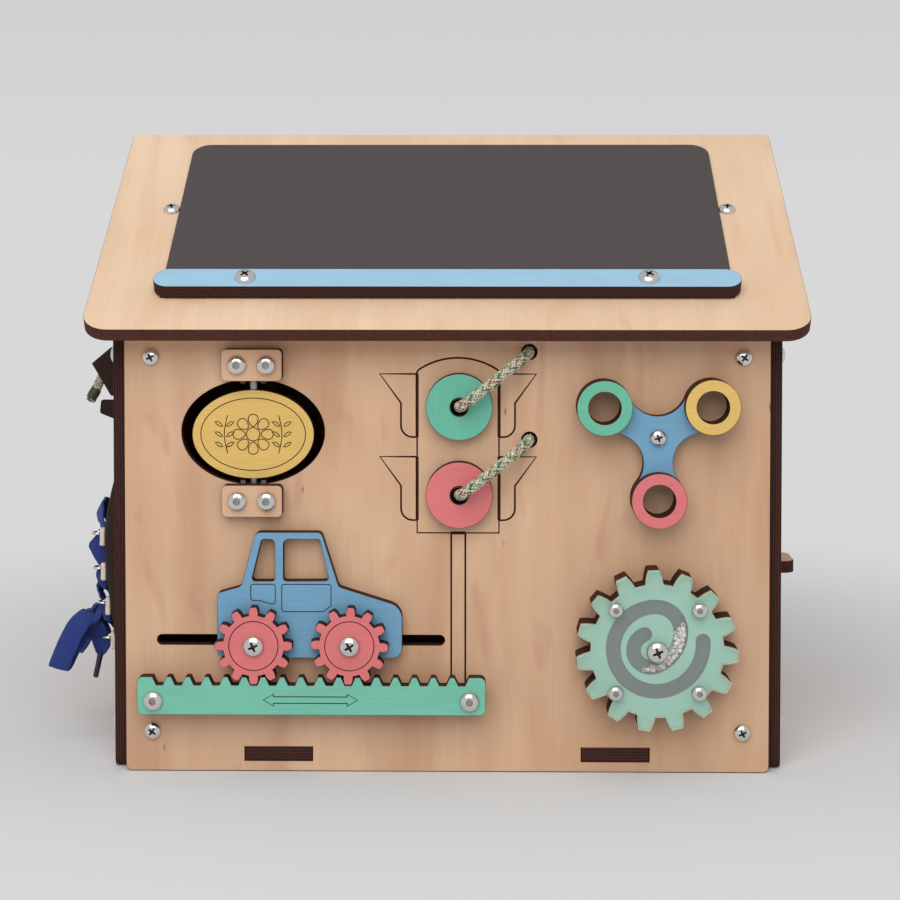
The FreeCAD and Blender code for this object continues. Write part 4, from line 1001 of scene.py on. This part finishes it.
def scoreTool(lines, height, width):
    # A cutter that follows lines of (x, y) points, closed where the last repeats the first
    curve = newCurve("score", width / 2 * mm, 1)
    curve.fill_mode = "FULL"
    curve.extrude = max(scoreDepth - width / 2, 0.05) * mm
    curve.twist_mode = "Z_UP"
    for line in lines:
        closed = line[0] == line[-1]
        points = [(x * mm, y * mm, height * mm) for x, y in (line[:-1] if closed else line)]
        addSpline(curve, "POLY", points).use_cyclic_u = closed
    mesh = curveMesh(curve)
    mesh.transform(front)
    return linked("score", mesh)


def engrave(node, lines, height, width):
    # The walls of a line get the fourth finish
    piece = bpy.data.objects[node + "_cut"]
    if scored.name not in piece.data.materials:
        piece.data.materials.append(scored)
    cutAway(piece, scoreTool(lines, height, width), 3)


def closedLine(points):
    return points[:-1] + points[:1]


def oval(x, z, wide, tall, steps, start=0, end=360):
    angles = [radians(start + (end - start) * k / steps) for k in range(steps + 1)]
    return [(x + wide * cos(a), z + tall * sin(a)) for a in angles]


def arc(x, z, radius, start, end, steps):
    return oval(x, z, radius, radius, steps, start, end)


trafficLight = {
    "left": -13.2, "right": 23.3, "foot": 107.5, "shoulder": 178.4, "crown": 31.6, "middle": 5.05,
    "apex": 185.8, "crownTurn": 33.4, "capStep": 1.2,
    "bars": 1.4, "line": 0.86,
    "visors": ((178.6, 165.6, 155.8, 150.4), (141.6, 128.6, 118.8, 113.2)),
    "tips": (-29.8, 39.9), "steps": (-20.4, 30.4), "round": 5.2,
    "pole": (2.0, 8.3), "poleFoot": 36.0,
}


def trafficLightLines():
    t = trafficLight
    foot, radius = t["foot"], t["round"]
    top = t["shoulder"] + t["capStep"]
    crown, half = t["crown"], t["crownTurn"]
    crown = arc(t["middle"], t["apex"] - crown, crown, 90 - half, 90 + half, 24)
    thin = [[(t["right"], foot), (t["right"], top)] + crown
            + [(t["left"], top), (t["left"], foot), (t["right"], foot)]]
    thin += [[(x, foot), (x, t["poleFoot"])] for x in t["pole"]]
    bars = []
    for way, edge, tip, step in ((1, t["left"], t["tips"][0], t["steps"][0]),
                                 (-1, t["right"], t["tips"][1], t["steps"][1])):
        for high, knee, low, bottom in t["visors"]:
            bend = arc(step + way * radius, bottom + radius, radius, 270 - way * 90, 270, 8)
            thin.append([(edge, high), (tip, high), (step, knee), (step, low)] + bend + [(edge, bottom)])
            bars.append([(edge, high), (edge, bottom)])
    bars.append([(t["pole"][0], foot), (t["pole"][1], foot)])
    return thin, bars


thinLines, barLines = trafficLightLines()
engrave("front_panel", thinLines, 0.0, trafficLight["line"])
engrave("front_panel", barLines, 0.0, trafficLight["bars"])

rackArrow = {"low": -81.0, "high": -39.2, "z": 35.0, "head": 2.65, "headLength": 4.6, "shaft": 1.45,
             "line": 0.6, "height": 12.0}


def arrowLine():
    a = rackArrow
    neck0, neck1 = a["low"] + a["headLength"], a["high"] - a["headLength"]
    upper = [(a["low"], 0), (neck0, a["head"]), (neck0, a["shaft"]), (neck1, a["shaft"]), (neck1, a["head"]),
             (a["high"], 0)]
    lower = [(x, -z) for x, z in reversed(upper[:-1])]
    return [(x, a["z"] + z) for x, z in upper + lower]


engrave("gear_rack", [arrowLine()], rackArrow["height"], rackArrow["line"])

tractorMarks = {
    "line": 0.42, "height": 6.4,
    "rear": (-87.0, -76.1, 85.4, 76.6), "side": (-73.2, -51.3, 85.4, 73.2),
    "soft": 1.1, "chamfer": (3.6, 2.6),
    "wave": ((1.6, 1.6), (4.2, 1.5), (6.6, 0.7), (8.6, 0.1)), "lift": 1.6, "lip": 0.8,
}


def softBox(x0, x1, z0, z1, radius):
    corners = ((x1 - radius, z1 - radius), (x0 + radius, z1 - radius), (x0 + radius, z0 + radius))
    return [point for k, (x, z) in enumerate(corners) for point in arc(x, z, radius, 90 * k, 90 * k + 90, 4)]


def tractorLines():
    m = tractorMarks
    x0, x1, high, low = m["rear"]
    rear = softBox(x0, x1, low + m["lift"], high, m["soft"])
    rear += [(x0 + x, low + z) for x, z in m["wave"]] + [(x1 - m["lip"], low), (x1, low + m["lip"])]
    x0, x1, high, low = m["side"]
    cutX, cutZ = m["chamfer"]
    side = softBox(x0, x1, low, high, m["soft"]) + [(x1 - cutX, low), (x1, low + cutZ)]
    return [rear + rear[:1], side + side[:1]]


engrave("tractor_body", tractorLines(), tractorMarks["height"], tractorMarks["line"])

wheelMark = {"radius": 10.9, "line": 0.42, "height": 12.8, "z": 59.2,
             "axles": {"rear_wheel": -85.18, "front_wheel": -42.78}}
for name, x in wheelMark["axles"].items():
    ringLine = closedLine(arc(x, wheelMark["z"], wheelMark["radius"], 0, 360, 48))
    engrave(name, [ringLine], wheelMark["height"], wheelMark["line"])

daisy = {"x": -86.4, "z": 151.5, "heart": 3.0, "petals": 8, "inner": 3.5, "reach": 9.0, "petal": 2.2,
         "swell": 0.25, "line": 0.42, "frame": (23.4, 16.2), "sprig": (12.0, 0.9, -8.5, 17.0),
         "leaf": (12.8, -5.6, 4.6), "leafSize": (0.7, 3.6, 1.9, 0.9, 0.7)}


def daisyLines():
    # A plain daisy in an oval line with a leaf sprig on each side
    d = daisy
    lines = [closedLine(arc(0, 0, d["heart"], 0, 360, 20))]
    middle, half = (d["inner"] + d["reach"]) / 2, (d["reach"] - d["inner"]) / 2
    for k in range(d["petals"]):
        turn = Matrix.Rotation(tau * k / d["petals"], 2)
        petal = [Vector((middle + x * half, z * d["petal"] * (1 + d["swell"] * x)))
                 for x, z in arc(0, 0, 1, 0, 360, 16)]
        lines.append(closedLine([tuple(turn @ place) for place in petal]))
    lines.append(closedLine(oval(0, 0, *d["frame"], 64)))
    away, sway, foot, tall = d["sprig"]
    rowX, rowZ, pitch = d["leaf"]
    start, long, rise, over, under = d["leafSize"]
    for side in (-1, 1):
        lines.append([(side * (away + sway * cos((i - 4) * 0.55)), foot + tall * i / 8)
                      for i in range(9)])
        for k, lean in product(range(3), (-1, 1)):
            upper, lower = ([(side * rowX + lean * side * (start + long * i / 6),
                              rowZ + pitch * k + rise * i / 6 + bow * sin(pi * i / 6))
                             for i in range(7)] for bow in (over, -under))
            lines.append(upper + lower[-2::-1] + upper[:1])
    return [[(d["x"] + x, d["z"] + z) for x, z in line] for line in lines]


engrave("flip_sign", daisyLines(), 0.0, daisy["line"])
print("lines engraved")


# Screws and bolts

# Each kind's recess finish is a darker steel, painted shade in the recess
heads = {
    "cross": {"profile": ((0.0, 1.0), (0.32, 0.985), (0.6, 0.88), (0.82, 0.68), (0.95, 0.42), (1.0, 0.18),
                          (0.97, 0.0)), "turns": (0, 90), "arm": 0.68, "armWidth": 0.15, "armTaper": 0.45,
              "depth": 0.8, "cone": (12, 0.06, 0.17, 2.1), "recess": recessShadeSteel},
    "hex": {"profile": ((0.0, 1.0), (0.48, 1.0), (0.58, 0.96), (0.8, 0.76), (0.95, 0.42), (1.0, 0.14),
                        (0.98, 0.0)), "turns": (), "depth": 0.6, "cone": (6, 0.2, 0.2, 2.0),
            "recess": socketShadeSteel},
    "tip": 0.6,
}


def headMesh(kind, head, height, shank, below):
    # One fastener with its seat at z = 0 and a recess sunk into its head; the recess walls take a darker steel,
    # painted shade
    form, tip = heads[kind], heads["tip"]
    points = [(head / 2 * r, height * z) for r, z in form["profile"]]
    points += [(shank / 2, 0.0), (shank / 2, -below + tip), (shank / 2 - tip, -below), (0.0, -below)]
    body = meshObject("fastener", spun(points, 36), [steel, form["recess"]], 28)
    bm = bmesh.new()
    depth = height * form["depth"] * mm
    for turn in form["turns"]:
        size = Matrix.Diagonal((head * form["arm"] * mm, head * form["armWidth"] * mm, depth * 2, 1))
        made = bmesh.ops.create_cube(bm, size=1.0, matrix=Matrix.Rotation(radians(turn), 4, "Z") @ size)
        low = [vert for vert in made["verts"] if vert.co.z < 0]
        bmesh.ops.scale(bm, vec=(form["armTaper"], form["armTaper"], 1), verts=low)
    segments, foot, top, long = form["cone"]
    bmesh.ops.create_cone(bm, cap_ends=True, segments=segments, radius1=head * foot * mm,
                          radius2=head * top * mm, depth=depth * long)
    bmesh.ops.translate(bm, vec=(0, 0, height * mm), verts=bm.verts)
    cutAway(body, meshObject("recess", bm, []), 1, 28, ())
    mesh = body.data
    bpy.data.objects.remove(body)
    return mesh


def fasteners(node, planes, kind, head, height, shank, body):
    # The same fastener at each solid of the node, turned a different amount each time
    bm = bmesh.new()
    made = {}
    for plane, x, y, low, top in seatsOf(node, planes):
        below = round((top - low) / mm - height, 2)
        if below not in made:
            made[below] = headMesh(kind, head, height, shank, below)
        seat = Matrix.Translation((x, y, top - height * mm))
        pour(bm, made[below], plane @ seat @ Matrix.Rotation(random.uniform(0, tau), 4, "Z"))
    finishes = [steel, heads[kind]["recess"]]
    settle(meshObject(node + "_driven", bm, finishes, 28), body, "screw_steel", node)


for row in (
        # Node, walls, head, its width and height, shank and body
        ("end_panel_screws", (front, back), "cross", 8.0, 2.6, 3.0, "house"),
        ("side_panel_screws", (left, right), "cross", 8.0, 2.6, 3.0, "house"),
        ("roof_screws", (frontRoof, backRoof), "cross", 8.0, 2.6, 3.0, "house"),
        ("ledge_screws", (frontRoof,), "cross", 9.4, 2.6, 3.0, "house"),
        ("hex_bolts", (front,), "hex", 9.0, 2.6, 4.0, "house"),
        ("spinner_bolt", (front,), "cross", 7.6, 2.6, 4.0, "house"),
        ("maze_bolt", (front,), "cross", 9.8, 3.0, 5.0, "house"),
        ("maze_screws", (front,), "hex", 7.0, 2.2, 3.0, "maze"),
        ("wheel_bolts", (front,), "cross", 9.3, 2.6, 4.0, "tractor")):
    fasteners(*row)
for node in ("nuts_and_washers", "wheel_nuts", "sign_pins"):
    for slot in nodes[node].material_slots:
        slot.material = dullSteel
print("fasteners driven")


# Eyelets and knots

eyelet = {"outer": 8.4, "inner": 6.5, "low": -5.9, "top": 6.35, "lip": 0.75}


def makeEyelets():
    low, lip = eyelet["low"], eyelet["lip"]
    outer, inner, high = eyelet["outer"] / 2, eyelet["inner"] / 2, eyelet["top"] + lip * 0.4
    one = meshFrom("eyelet", spun([
        (outer - 0.1, low), (outer - 0.1, high - lip), (outer, high - lip * 0.6),
        (outer - 0.15, high - 0.15), (outer - 0.45, high), (inner + 0.25, high - 0.15), (inner, high - lip),
        (inner, low), (outer - 0.1, low)], 40))
    bm = bmesh.new()
    for x, z in discRope["discs"].values():
        pour(bm, one, front @ Matrix.Translation((x * mm, z * mm, 0)))
    settle(meshObject("enamel_eyelets", bm, [blackMetal], 40), "house", "eyelet_metal", "disc_eyelets")


knots = {"thick": 4.4, "size": 3.4, "middle": 6.2, "neck": 11.5, "steps": 54, "turned": 0.94, "depth": 1.2}


def makeKnots():
    # Each rope end is tied in a knot behind its wall
    routes = []
    for plane, x, y, low, high in seatsOf("rope_knots", (left, front)):
        route = []
        for i in range(knots["steps"] + 1):
            t = tau * i / knots["steps"] * knots["turned"]
            spot = Vector((sin(t) + 2 * sin(2 * t), cos(t) - 2 * cos(2 * t),
                           -knots["depth"] * sin(3 * t))) * knots["size"] * mm / 3
            route.append(plane @ (spot + Vector((x, y, low + knots["middle"] * mm))))
        route += [plane @ Vector((x, y, height)) for height in (low + knots["neck"] * mm, high)]
        routes.append((route, 0))
    bm = bmesh.new()
    bm.from_mesh(sweptMesh("knots", routes, knots["thick"] / 2 * mm, 2, ropeYarns[:1]))
    settle(meshObject("tied_knots", bm, ropeYarns[:1], 60), "house", "rope_cord", "rope_knots")


makeEyelets()
makeKnots()
print("eyelets and knots set")


# Maze: clear cover, grey channel and loose-looking beads

maze = {
    "x": 92.7, "z": 58.0, "channelReach": 27.4, "coverRim": 0.15, "coverLift": 0.08,
    "bead": 2.1, "hole": 0.9, "long": 1.7, "count": 96, "gap": 1.62, "tries": 20000,
    "floor": 10.7, "roof": 12.1, "inside": -2.1, "outside": 2.1,
    "arcs": (((-0.5, 8.2, 11.0, 90.0, 0.0), 0.86, 1.0), ((-5.8, 8.2, 16.3, 0.0, -70.0), 0.0, 1.0)),
    "last": (7.5, -70.0, -250.0, 0.2), "taper": (0.16, 0.45), "thin": (0.25, 0.2),
    "standing": 0.35, "leans": ((0.0, 0.4), (1.1, 1.57)),
}


def mazeSpots():
    # Places along the channel's lower turns, where the beads have rolled
    arcs = list(maze["arcs"])
    x, z, radius, start, end = arcs[1][0]
    inner, first, last, share = maze["last"]
    turn = radians(end)
    away = radius - inner
    arcs.append(((x + away * cos(turn), z + away * sin(turn), inner, first, last), 0.0, share))
    lengths = [radians(abs(a[4] - a[3])) * a[2] * (high - low) for a, low, high in arcs]
    (begin, finish), (thinStart, thinEnd) = maze["taper"], maze["thin"]
    spots = []
    for _ in range(maze["tries"]):
        if len(spots) == maze["count"]:
            break
        pick = random.uniform(0, sum(lengths))
        along = pick / sum(lengths)
        for (a, low, high), length in zip(arcs, lengths):
            if pick <= length:
                break
            pick -= length
        full = min(1.0, thinStart + along / begin, thinEnd + (1 - along) / finish)
        side = random.uniform(maze["outside"] - (maze["outside"] - maze["inside"]) * full, maze["outside"])
        angle = radians(a[3] + (low + (high - low) * pick / length) * (a[4] - a[3]))
        spot = Vector((maze["x"] + a[0] + (a[2] + side) * cos(angle),
                       maze["z"] + a[1] + (a[2] + side) * sin(angle),
                       random.uniform(maze["floor"], maze["roof"])))
        if all((spot - other).length > maze["gap"] for other in spots):
            spots.append(spot)
    return spots


def makeBeads():
    wall, middle = (maze["bead"] - maze["hole"]) / 4, (maze["bead"] + maze["hole"]) / 4
    one = meshFrom("bead", spun(oval(middle, 0, wall, maze["long"] / 2, 7), 9))
    bm = bmesh.new()
    shade = bm.verts.layers.float.new("beadShade")
    standing, lying = maze["leans"]
    for spot in mazeSpots():
        lean = random.uniform(*(standing if random.random() < maze["standing"] else lying))
        tilt = Matrix.Rotation(random.uniform(0, tau), 4, "Z") @ Matrix.Rotation(lean, 4, "X")
        added = pour(bm, one, front @ Matrix.Translation(spot * mm) @ tilt)
        value = random.random()
        for vert in added:
            vert[shade] = value
    settle(meshObject("glass_beads", bm, [beadGlass], 60), "maze", "beads", "maze_beads")


def coverMaze():
    # The cover's underside lies clear of the layer below, so the two faces don't meet
    # Its rims take the cream finish, a painted highlight
    cover = sheetPiece("maze_cover", front, [clearFace, clearEdgeHighlight, clearFace], "maze", "clear_cover",
                       rim=maze["coverRim"])
    under = max(vert.co.y for vert in cover.data.vertices)
    for vert in cover.data.vertices:
        if vert.co.y > under - 0.01 * mm:
            vert.co.y -= maze["coverLift"] * mm


def paintChannel():
    # The walls of the spiral are grey, those of the gear's teeth burnt
    spiral = bpy.data.objects["maze_spiral_cut"]
    spiral.data.materials.append(greyPaint)
    axle = front @ Vector((maze["x"] * mm, maze["z"] * mm, 0))
    for polygon in spiral.data.polygons:
        offset = polygon.center - axle
        if polygon.material_index == 1 and hypot(offset.x, offset.z) < maze["channelReach"] * mm:
            polygon.material_index = 3


coverMaze()
paintChannel()
makeBeads()
print("maze filled")


# Lacing patch

patch = {"y": -78.0, "width": 56.0, "low": 28.0, "high": 133.0, "edge": 1.5, "bulge": 7.0, "lean": 1.7,
         "round": 5.0, "rim": 0.5, "flat": 0.78, "crease": 0.16}


def patchRise(z):
    share = (z - patch["low"]) / (patch["high"] - patch["low"])
    return patch["edge"] + patch["bulge"] * sin(pi * max(0, min(1, share)) ** patch["lean"])


def makePatch():
    # A leather panel over padding, drawn down along its stitched rim
    p = patch
    tall, rim = p["high"] - p["low"], p["rim"]
    bm = bmesh.new()
    bmesh.ops.create_grid(bm, x_segments=36, y_segments=64, size=0.5)
    for vert in bm.verts:
        u, v = vert.co.x * 2, vert.co.y * 2
        corner = min(1.0, (1 - abs(u)) * p["width"] / 2 / p["round"], (1 - abs(v)) * tall / 2 / p["round"])
        soft = sqrt(max(0.0, 1 - (1 - corner) ** 2))
        z = (p["low"] + p["high"]) / 2 + v * tall / 2
        full = p["flat"] + (1 - p["flat"]) * sin(min(1.0, (1 - abs(u)) * 2.2) * pi / 2)
        crease = p["crease"] * sin(z * 0.55 + 2.2 * u) * (1 - u * u)
        height = rim + (patchRise(z) * full + crease - rim) * (0.25 + 0.75 * soft)
        vert.co = left @ (Vector((-p["y"] + u * p["width"] / 2, z, height)) * mm)
    edges = [edge for edge in bm.edges if edge.is_boundary]
    skirt = bmesh.ops.extrude_edge_only(bm, edges=edges)["geom"]
    for vert in (part for part in skirt if isinstance(part, bmesh.types.BMVert)):
        vert.co.x = -house["halfWidth"] * mm
    bmesh.ops.holes_fill(bm, edges=[edge for edge in bm.edges if edge.is_boundary], sides=0)
    bmesh.ops.recalc_face_normals(bm, faces=bm.faces)
    piece = settle(meshObject("hide_patch", bm, [darkHide], 50), "house", "dark_leather", "lacing_patch")
    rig.padded(piece, fill=0.5)


hooks = {"rim": 0.5, "ring": 2.4, "wire": 0.6}


def makeHooks():
    sheetPiece("lace_hooks", left, [creamHide] * 3, "house", "cream_leather", rim=hooks["rim"],
               name="hide_tabs", smooth=50)
    one = meshFrom("ring", spun(arc(hooks["ring"], 0, hooks["wire"], 0, 360, 12), 32))
    bm = bmesh.new()
    copy = mergedCopy("lace_rings")
    for island in islandsOf(copy):
        pour(bm, one, Matrix.Translation(middleOf(island)))
    copy.free()
    settle(meshObject("wire_rings", bm, [chrome], 60), "house", "hook_ring_metal", "lace_rings")


lacing = {
    "rows": 4, "first": 100.0, "pitch": 16.1, "reach": 15.0, "ringRise": 1.7, "width": 8.6, "thick": 1.0,
    "ends": 0.35, "lifts": (3.0, 1.0, 1.5), "tab": 2.6, "inset": 3.6, "half": 0.62, "drop": 3.4,
    "fold": 2.2, "foldInset": 2.0, "cornerRound": 0.6, "foldRound": 0.3,
    "pleats": (((-1.5, 0.5), (1.0, 0.2), (5.2, -4.4), (5.7, -6.4), (4.6, -8.6), (0.4, -15.0), (-2.4, -15.4)),
               ((-1.5, 0.8), (0.8, 0.8), (3.0, -1.8), (3.1, -4.2), (1.6, -8.2), (-0.4, -10.2), (-1.8, -9.6)),
               ((-1.5, 1.0), (1.4, 0.4), (4.3, -0.6), (4.2, -2.2), (2.6, -4.8), (1.6, -8.6), (-1.4, -9.8))),
}


def lacePiece(name, points, faces, ends, steps, width=lacing["width"], thick=lacing["thick"],
              node="lace_lacing"):
    piece = ribbon(name, points, faces, width, thick, ends, steps)[0]
    settle(piece, "house", "blue_lace", node)


def layWeave(bm, across, along):
    # The weave's coordinates in mm, read in two directions
    layer = bm.loops.layers.uv.new("UVMap")
    for loop in (loop for face in bm.faces for loop in face.loops):
        loop[layer].uv = [loop.vert.co.dot(Vector(way)) / mm for way in (across, along)]


def pleat(name, corners, seat, ring, place):
    # A doubled fold of the lace, seen on its broad side where it comes out of a ring
    bm = bmesh.new()
    bm.faces.new([bm.verts.new(Vector((place, ring + up, seat + out)) * mm) for out, up in corners])
    eased(bm, bm.verts[:], lacing["cornerRound"], "VERTICES")
    grown = bmesh.ops.extrude_face_region(bm, geom=bm.faces[:])["geom"]
    bmesh.ops.translate(bm, vec=(lacing["fold"] * mm, 0, 0),
                        verts=[part for part in grown if isinstance(part, bmesh.types.BMVert)])
    eased(bm, bm.edges[:], lacing["foldRound"], clamped=True)
    layWeave(bm, (1, 0, 1), (0, 1, 0))
    bmesh.ops.transform(bm, matrix=left, verts=bm.verts)
    bmesh.ops.recalc_face_normals(bm, faces=bm.faces)
    settle(meshObject(name, bm, [laceYarn], 50), "house", "blue_lace", "lace_lacing")


def makeLacing():
    # Flat lace that crosses between the rings and bows outwards
    span = lacing["reach"] - lacing["inset"]
    inner, drop = span * lacing["half"], lacing["drop"]
    middleY = -patch["y"]
    for row, order in product(range(lacing["rows"] - 1), (0, 1)):
        side = 1 - 2 * order
        high = lacing["first"] - row * lacing["pitch"] + lacing["ringRise"]
        low = high - lacing["pitch"]
        out = max(patchRise(low), patchRise(high)) + 3.2
        bow = out + lacing["lifts"][row] + 0.9 * order
        route = [(side * span, high - 0.6, out + 0.6), (side * inner, high - drop, bow),
                 (0, (high + low) / 2, bow + 0.8 + 0.7 * order), (-side * inner, low + drop, bow),
                 (-side * span, low + 0.8, out + 0.6)]
        faces = ((0.0, (-1, side * 0.4, 0.3)), (0.5, (-1, 0, 0)), (1.0, (-1, -side * 0.4, -0.3)))
        points = placesOn(left, [(middleY + across, up, away) for across, up, away in route])
        lacePiece("lace_cross_%d_%d" % (row, order), points, faces, lacing["ends"], 28)
    for row, corners in enumerate(lacing["pleats"]):
        tab = lacing["first"] - row * lacing["pitch"]
        for side in (-1, 1):
            pleat("lace_pleat_%d_%d" % (row, side > 0), corners, patchRise(tab) + lacing["tab"],
                  tab + lacing["ringRise"], middleY + side * (lacing["reach"] - lacing["foldInset"]))
    top = lacing["first"] + lacing["ringRise"] + 1.0
    out = patchRise(top) + 3.0
    half = ((span + 1.0, top - 1.0, out - 1.2), (span * 0.9, top + 5.5, out + 0.8),
            (span * 0.4, top + 9.5, out + 2.2))
    route = [(middleY + across, up, away) for across, up, away in half]
    route += [(middleY - across, up, away) for across, up, away in reversed(half)]
    faces = ((0.0, (-1, -0.3, 0.2)), (0.5, (-1, 0, 0.5)), (1.0, (-1, 0.3, 0.2)))
    lacePiece("lace_top", placesOn(left, route), faces, lacing["ends"], 36)


knot = {"core": (0.9, 1.05, 0.92), "folds": (0.12, 1.6), "pinch": (0.06, 2), "width": 6.2, "thick": 0.9,
        "bands": ((0.0, 0.0), (1.1, 0.5)), "ends": 0.8}


def makeLaceKnot():
    # The knot of the bow: a band drawn over the crossing loops
    bm = mergedCopy("lace_knot")
    low, high = (Vector(map(pick, *(vert.co for vert in bm.verts))) for pick in (min, max))
    bm.free()
    middle, size = (low + high) / 2, high - low
    bm = bmesh.new()
    bmesh.ops.create_uvsphere(bm, u_segments=28, v_segments=18, radius=0.5)
    bmesh.ops.scale(bm, vec=size * Vector(knot["core"]), verts=bm.verts)
    (foldDepth, folds), (pinchDepth, pinches) = knot["folds"], knot["pinch"]
    for vert in bm.verts:
        vert.co.y *= 1 + foldDepth * cos(vert.co.z / size.z * tau * folds)
        vert.co.x *= 1 + pinchDepth * cos(vert.co.y / size.y * tau * pinches)
    bmesh.ops.translate(bm, vec=middle, verts=bm.verts)
    layWeave(bm, (0, 1, 0), (0, 0, 1))
    settle(meshObject("lace_knot_core", bm, [laceYarn], 70), "house", "blue_lace", "lace_knot")
    for turn, lift in knot["bands"]:
        reach, half = size.x / 2 / mm + 0.5 + lift, size.z / 2 / mm - 0.3
        lean = sin(turn) * 2.0
        upper = [(-reach * 0.2, lean, half), (-reach * 0.85, lean * 0.7, half * 0.86),
                 (-reach * 1.04, 0, half * 0.3)]
        route = upper + [(x, -y, -z) for x, y, z in reversed(upper)]
        faces = ((0.0, (-0.3, 0, 1)), (0.5, (-1, 0, 0)), (1.0, (-0.3, 0, -1)))
        points = placesOn(Matrix.Translation(middle), route)
        lacePiece("lace_band_%d" % (lift * 2), points, faces, knot["ends"], 24, knot["width"], knot["thick"],
                  "lace_knot")


makePatch()
makeHooks()
makeLacing()
makeLaceKnot()
tonguePlane = wallPlane((0, 0, 0), (-1, 0, 0), (0, 0, 1))
sheetPiece("leather_tongues", tonguePlane, [darkHide] * 3, "house", "dark_leather", rim=0.6,
           name="hide_tongues", smooth=50)
print("lacing done")

low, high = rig.bounds()
with open("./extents.json", "w") as report:
    json.dump({"cad": [list(cadLow), list(cadHigh)], "visual": [list(low), list(high)]}, report)
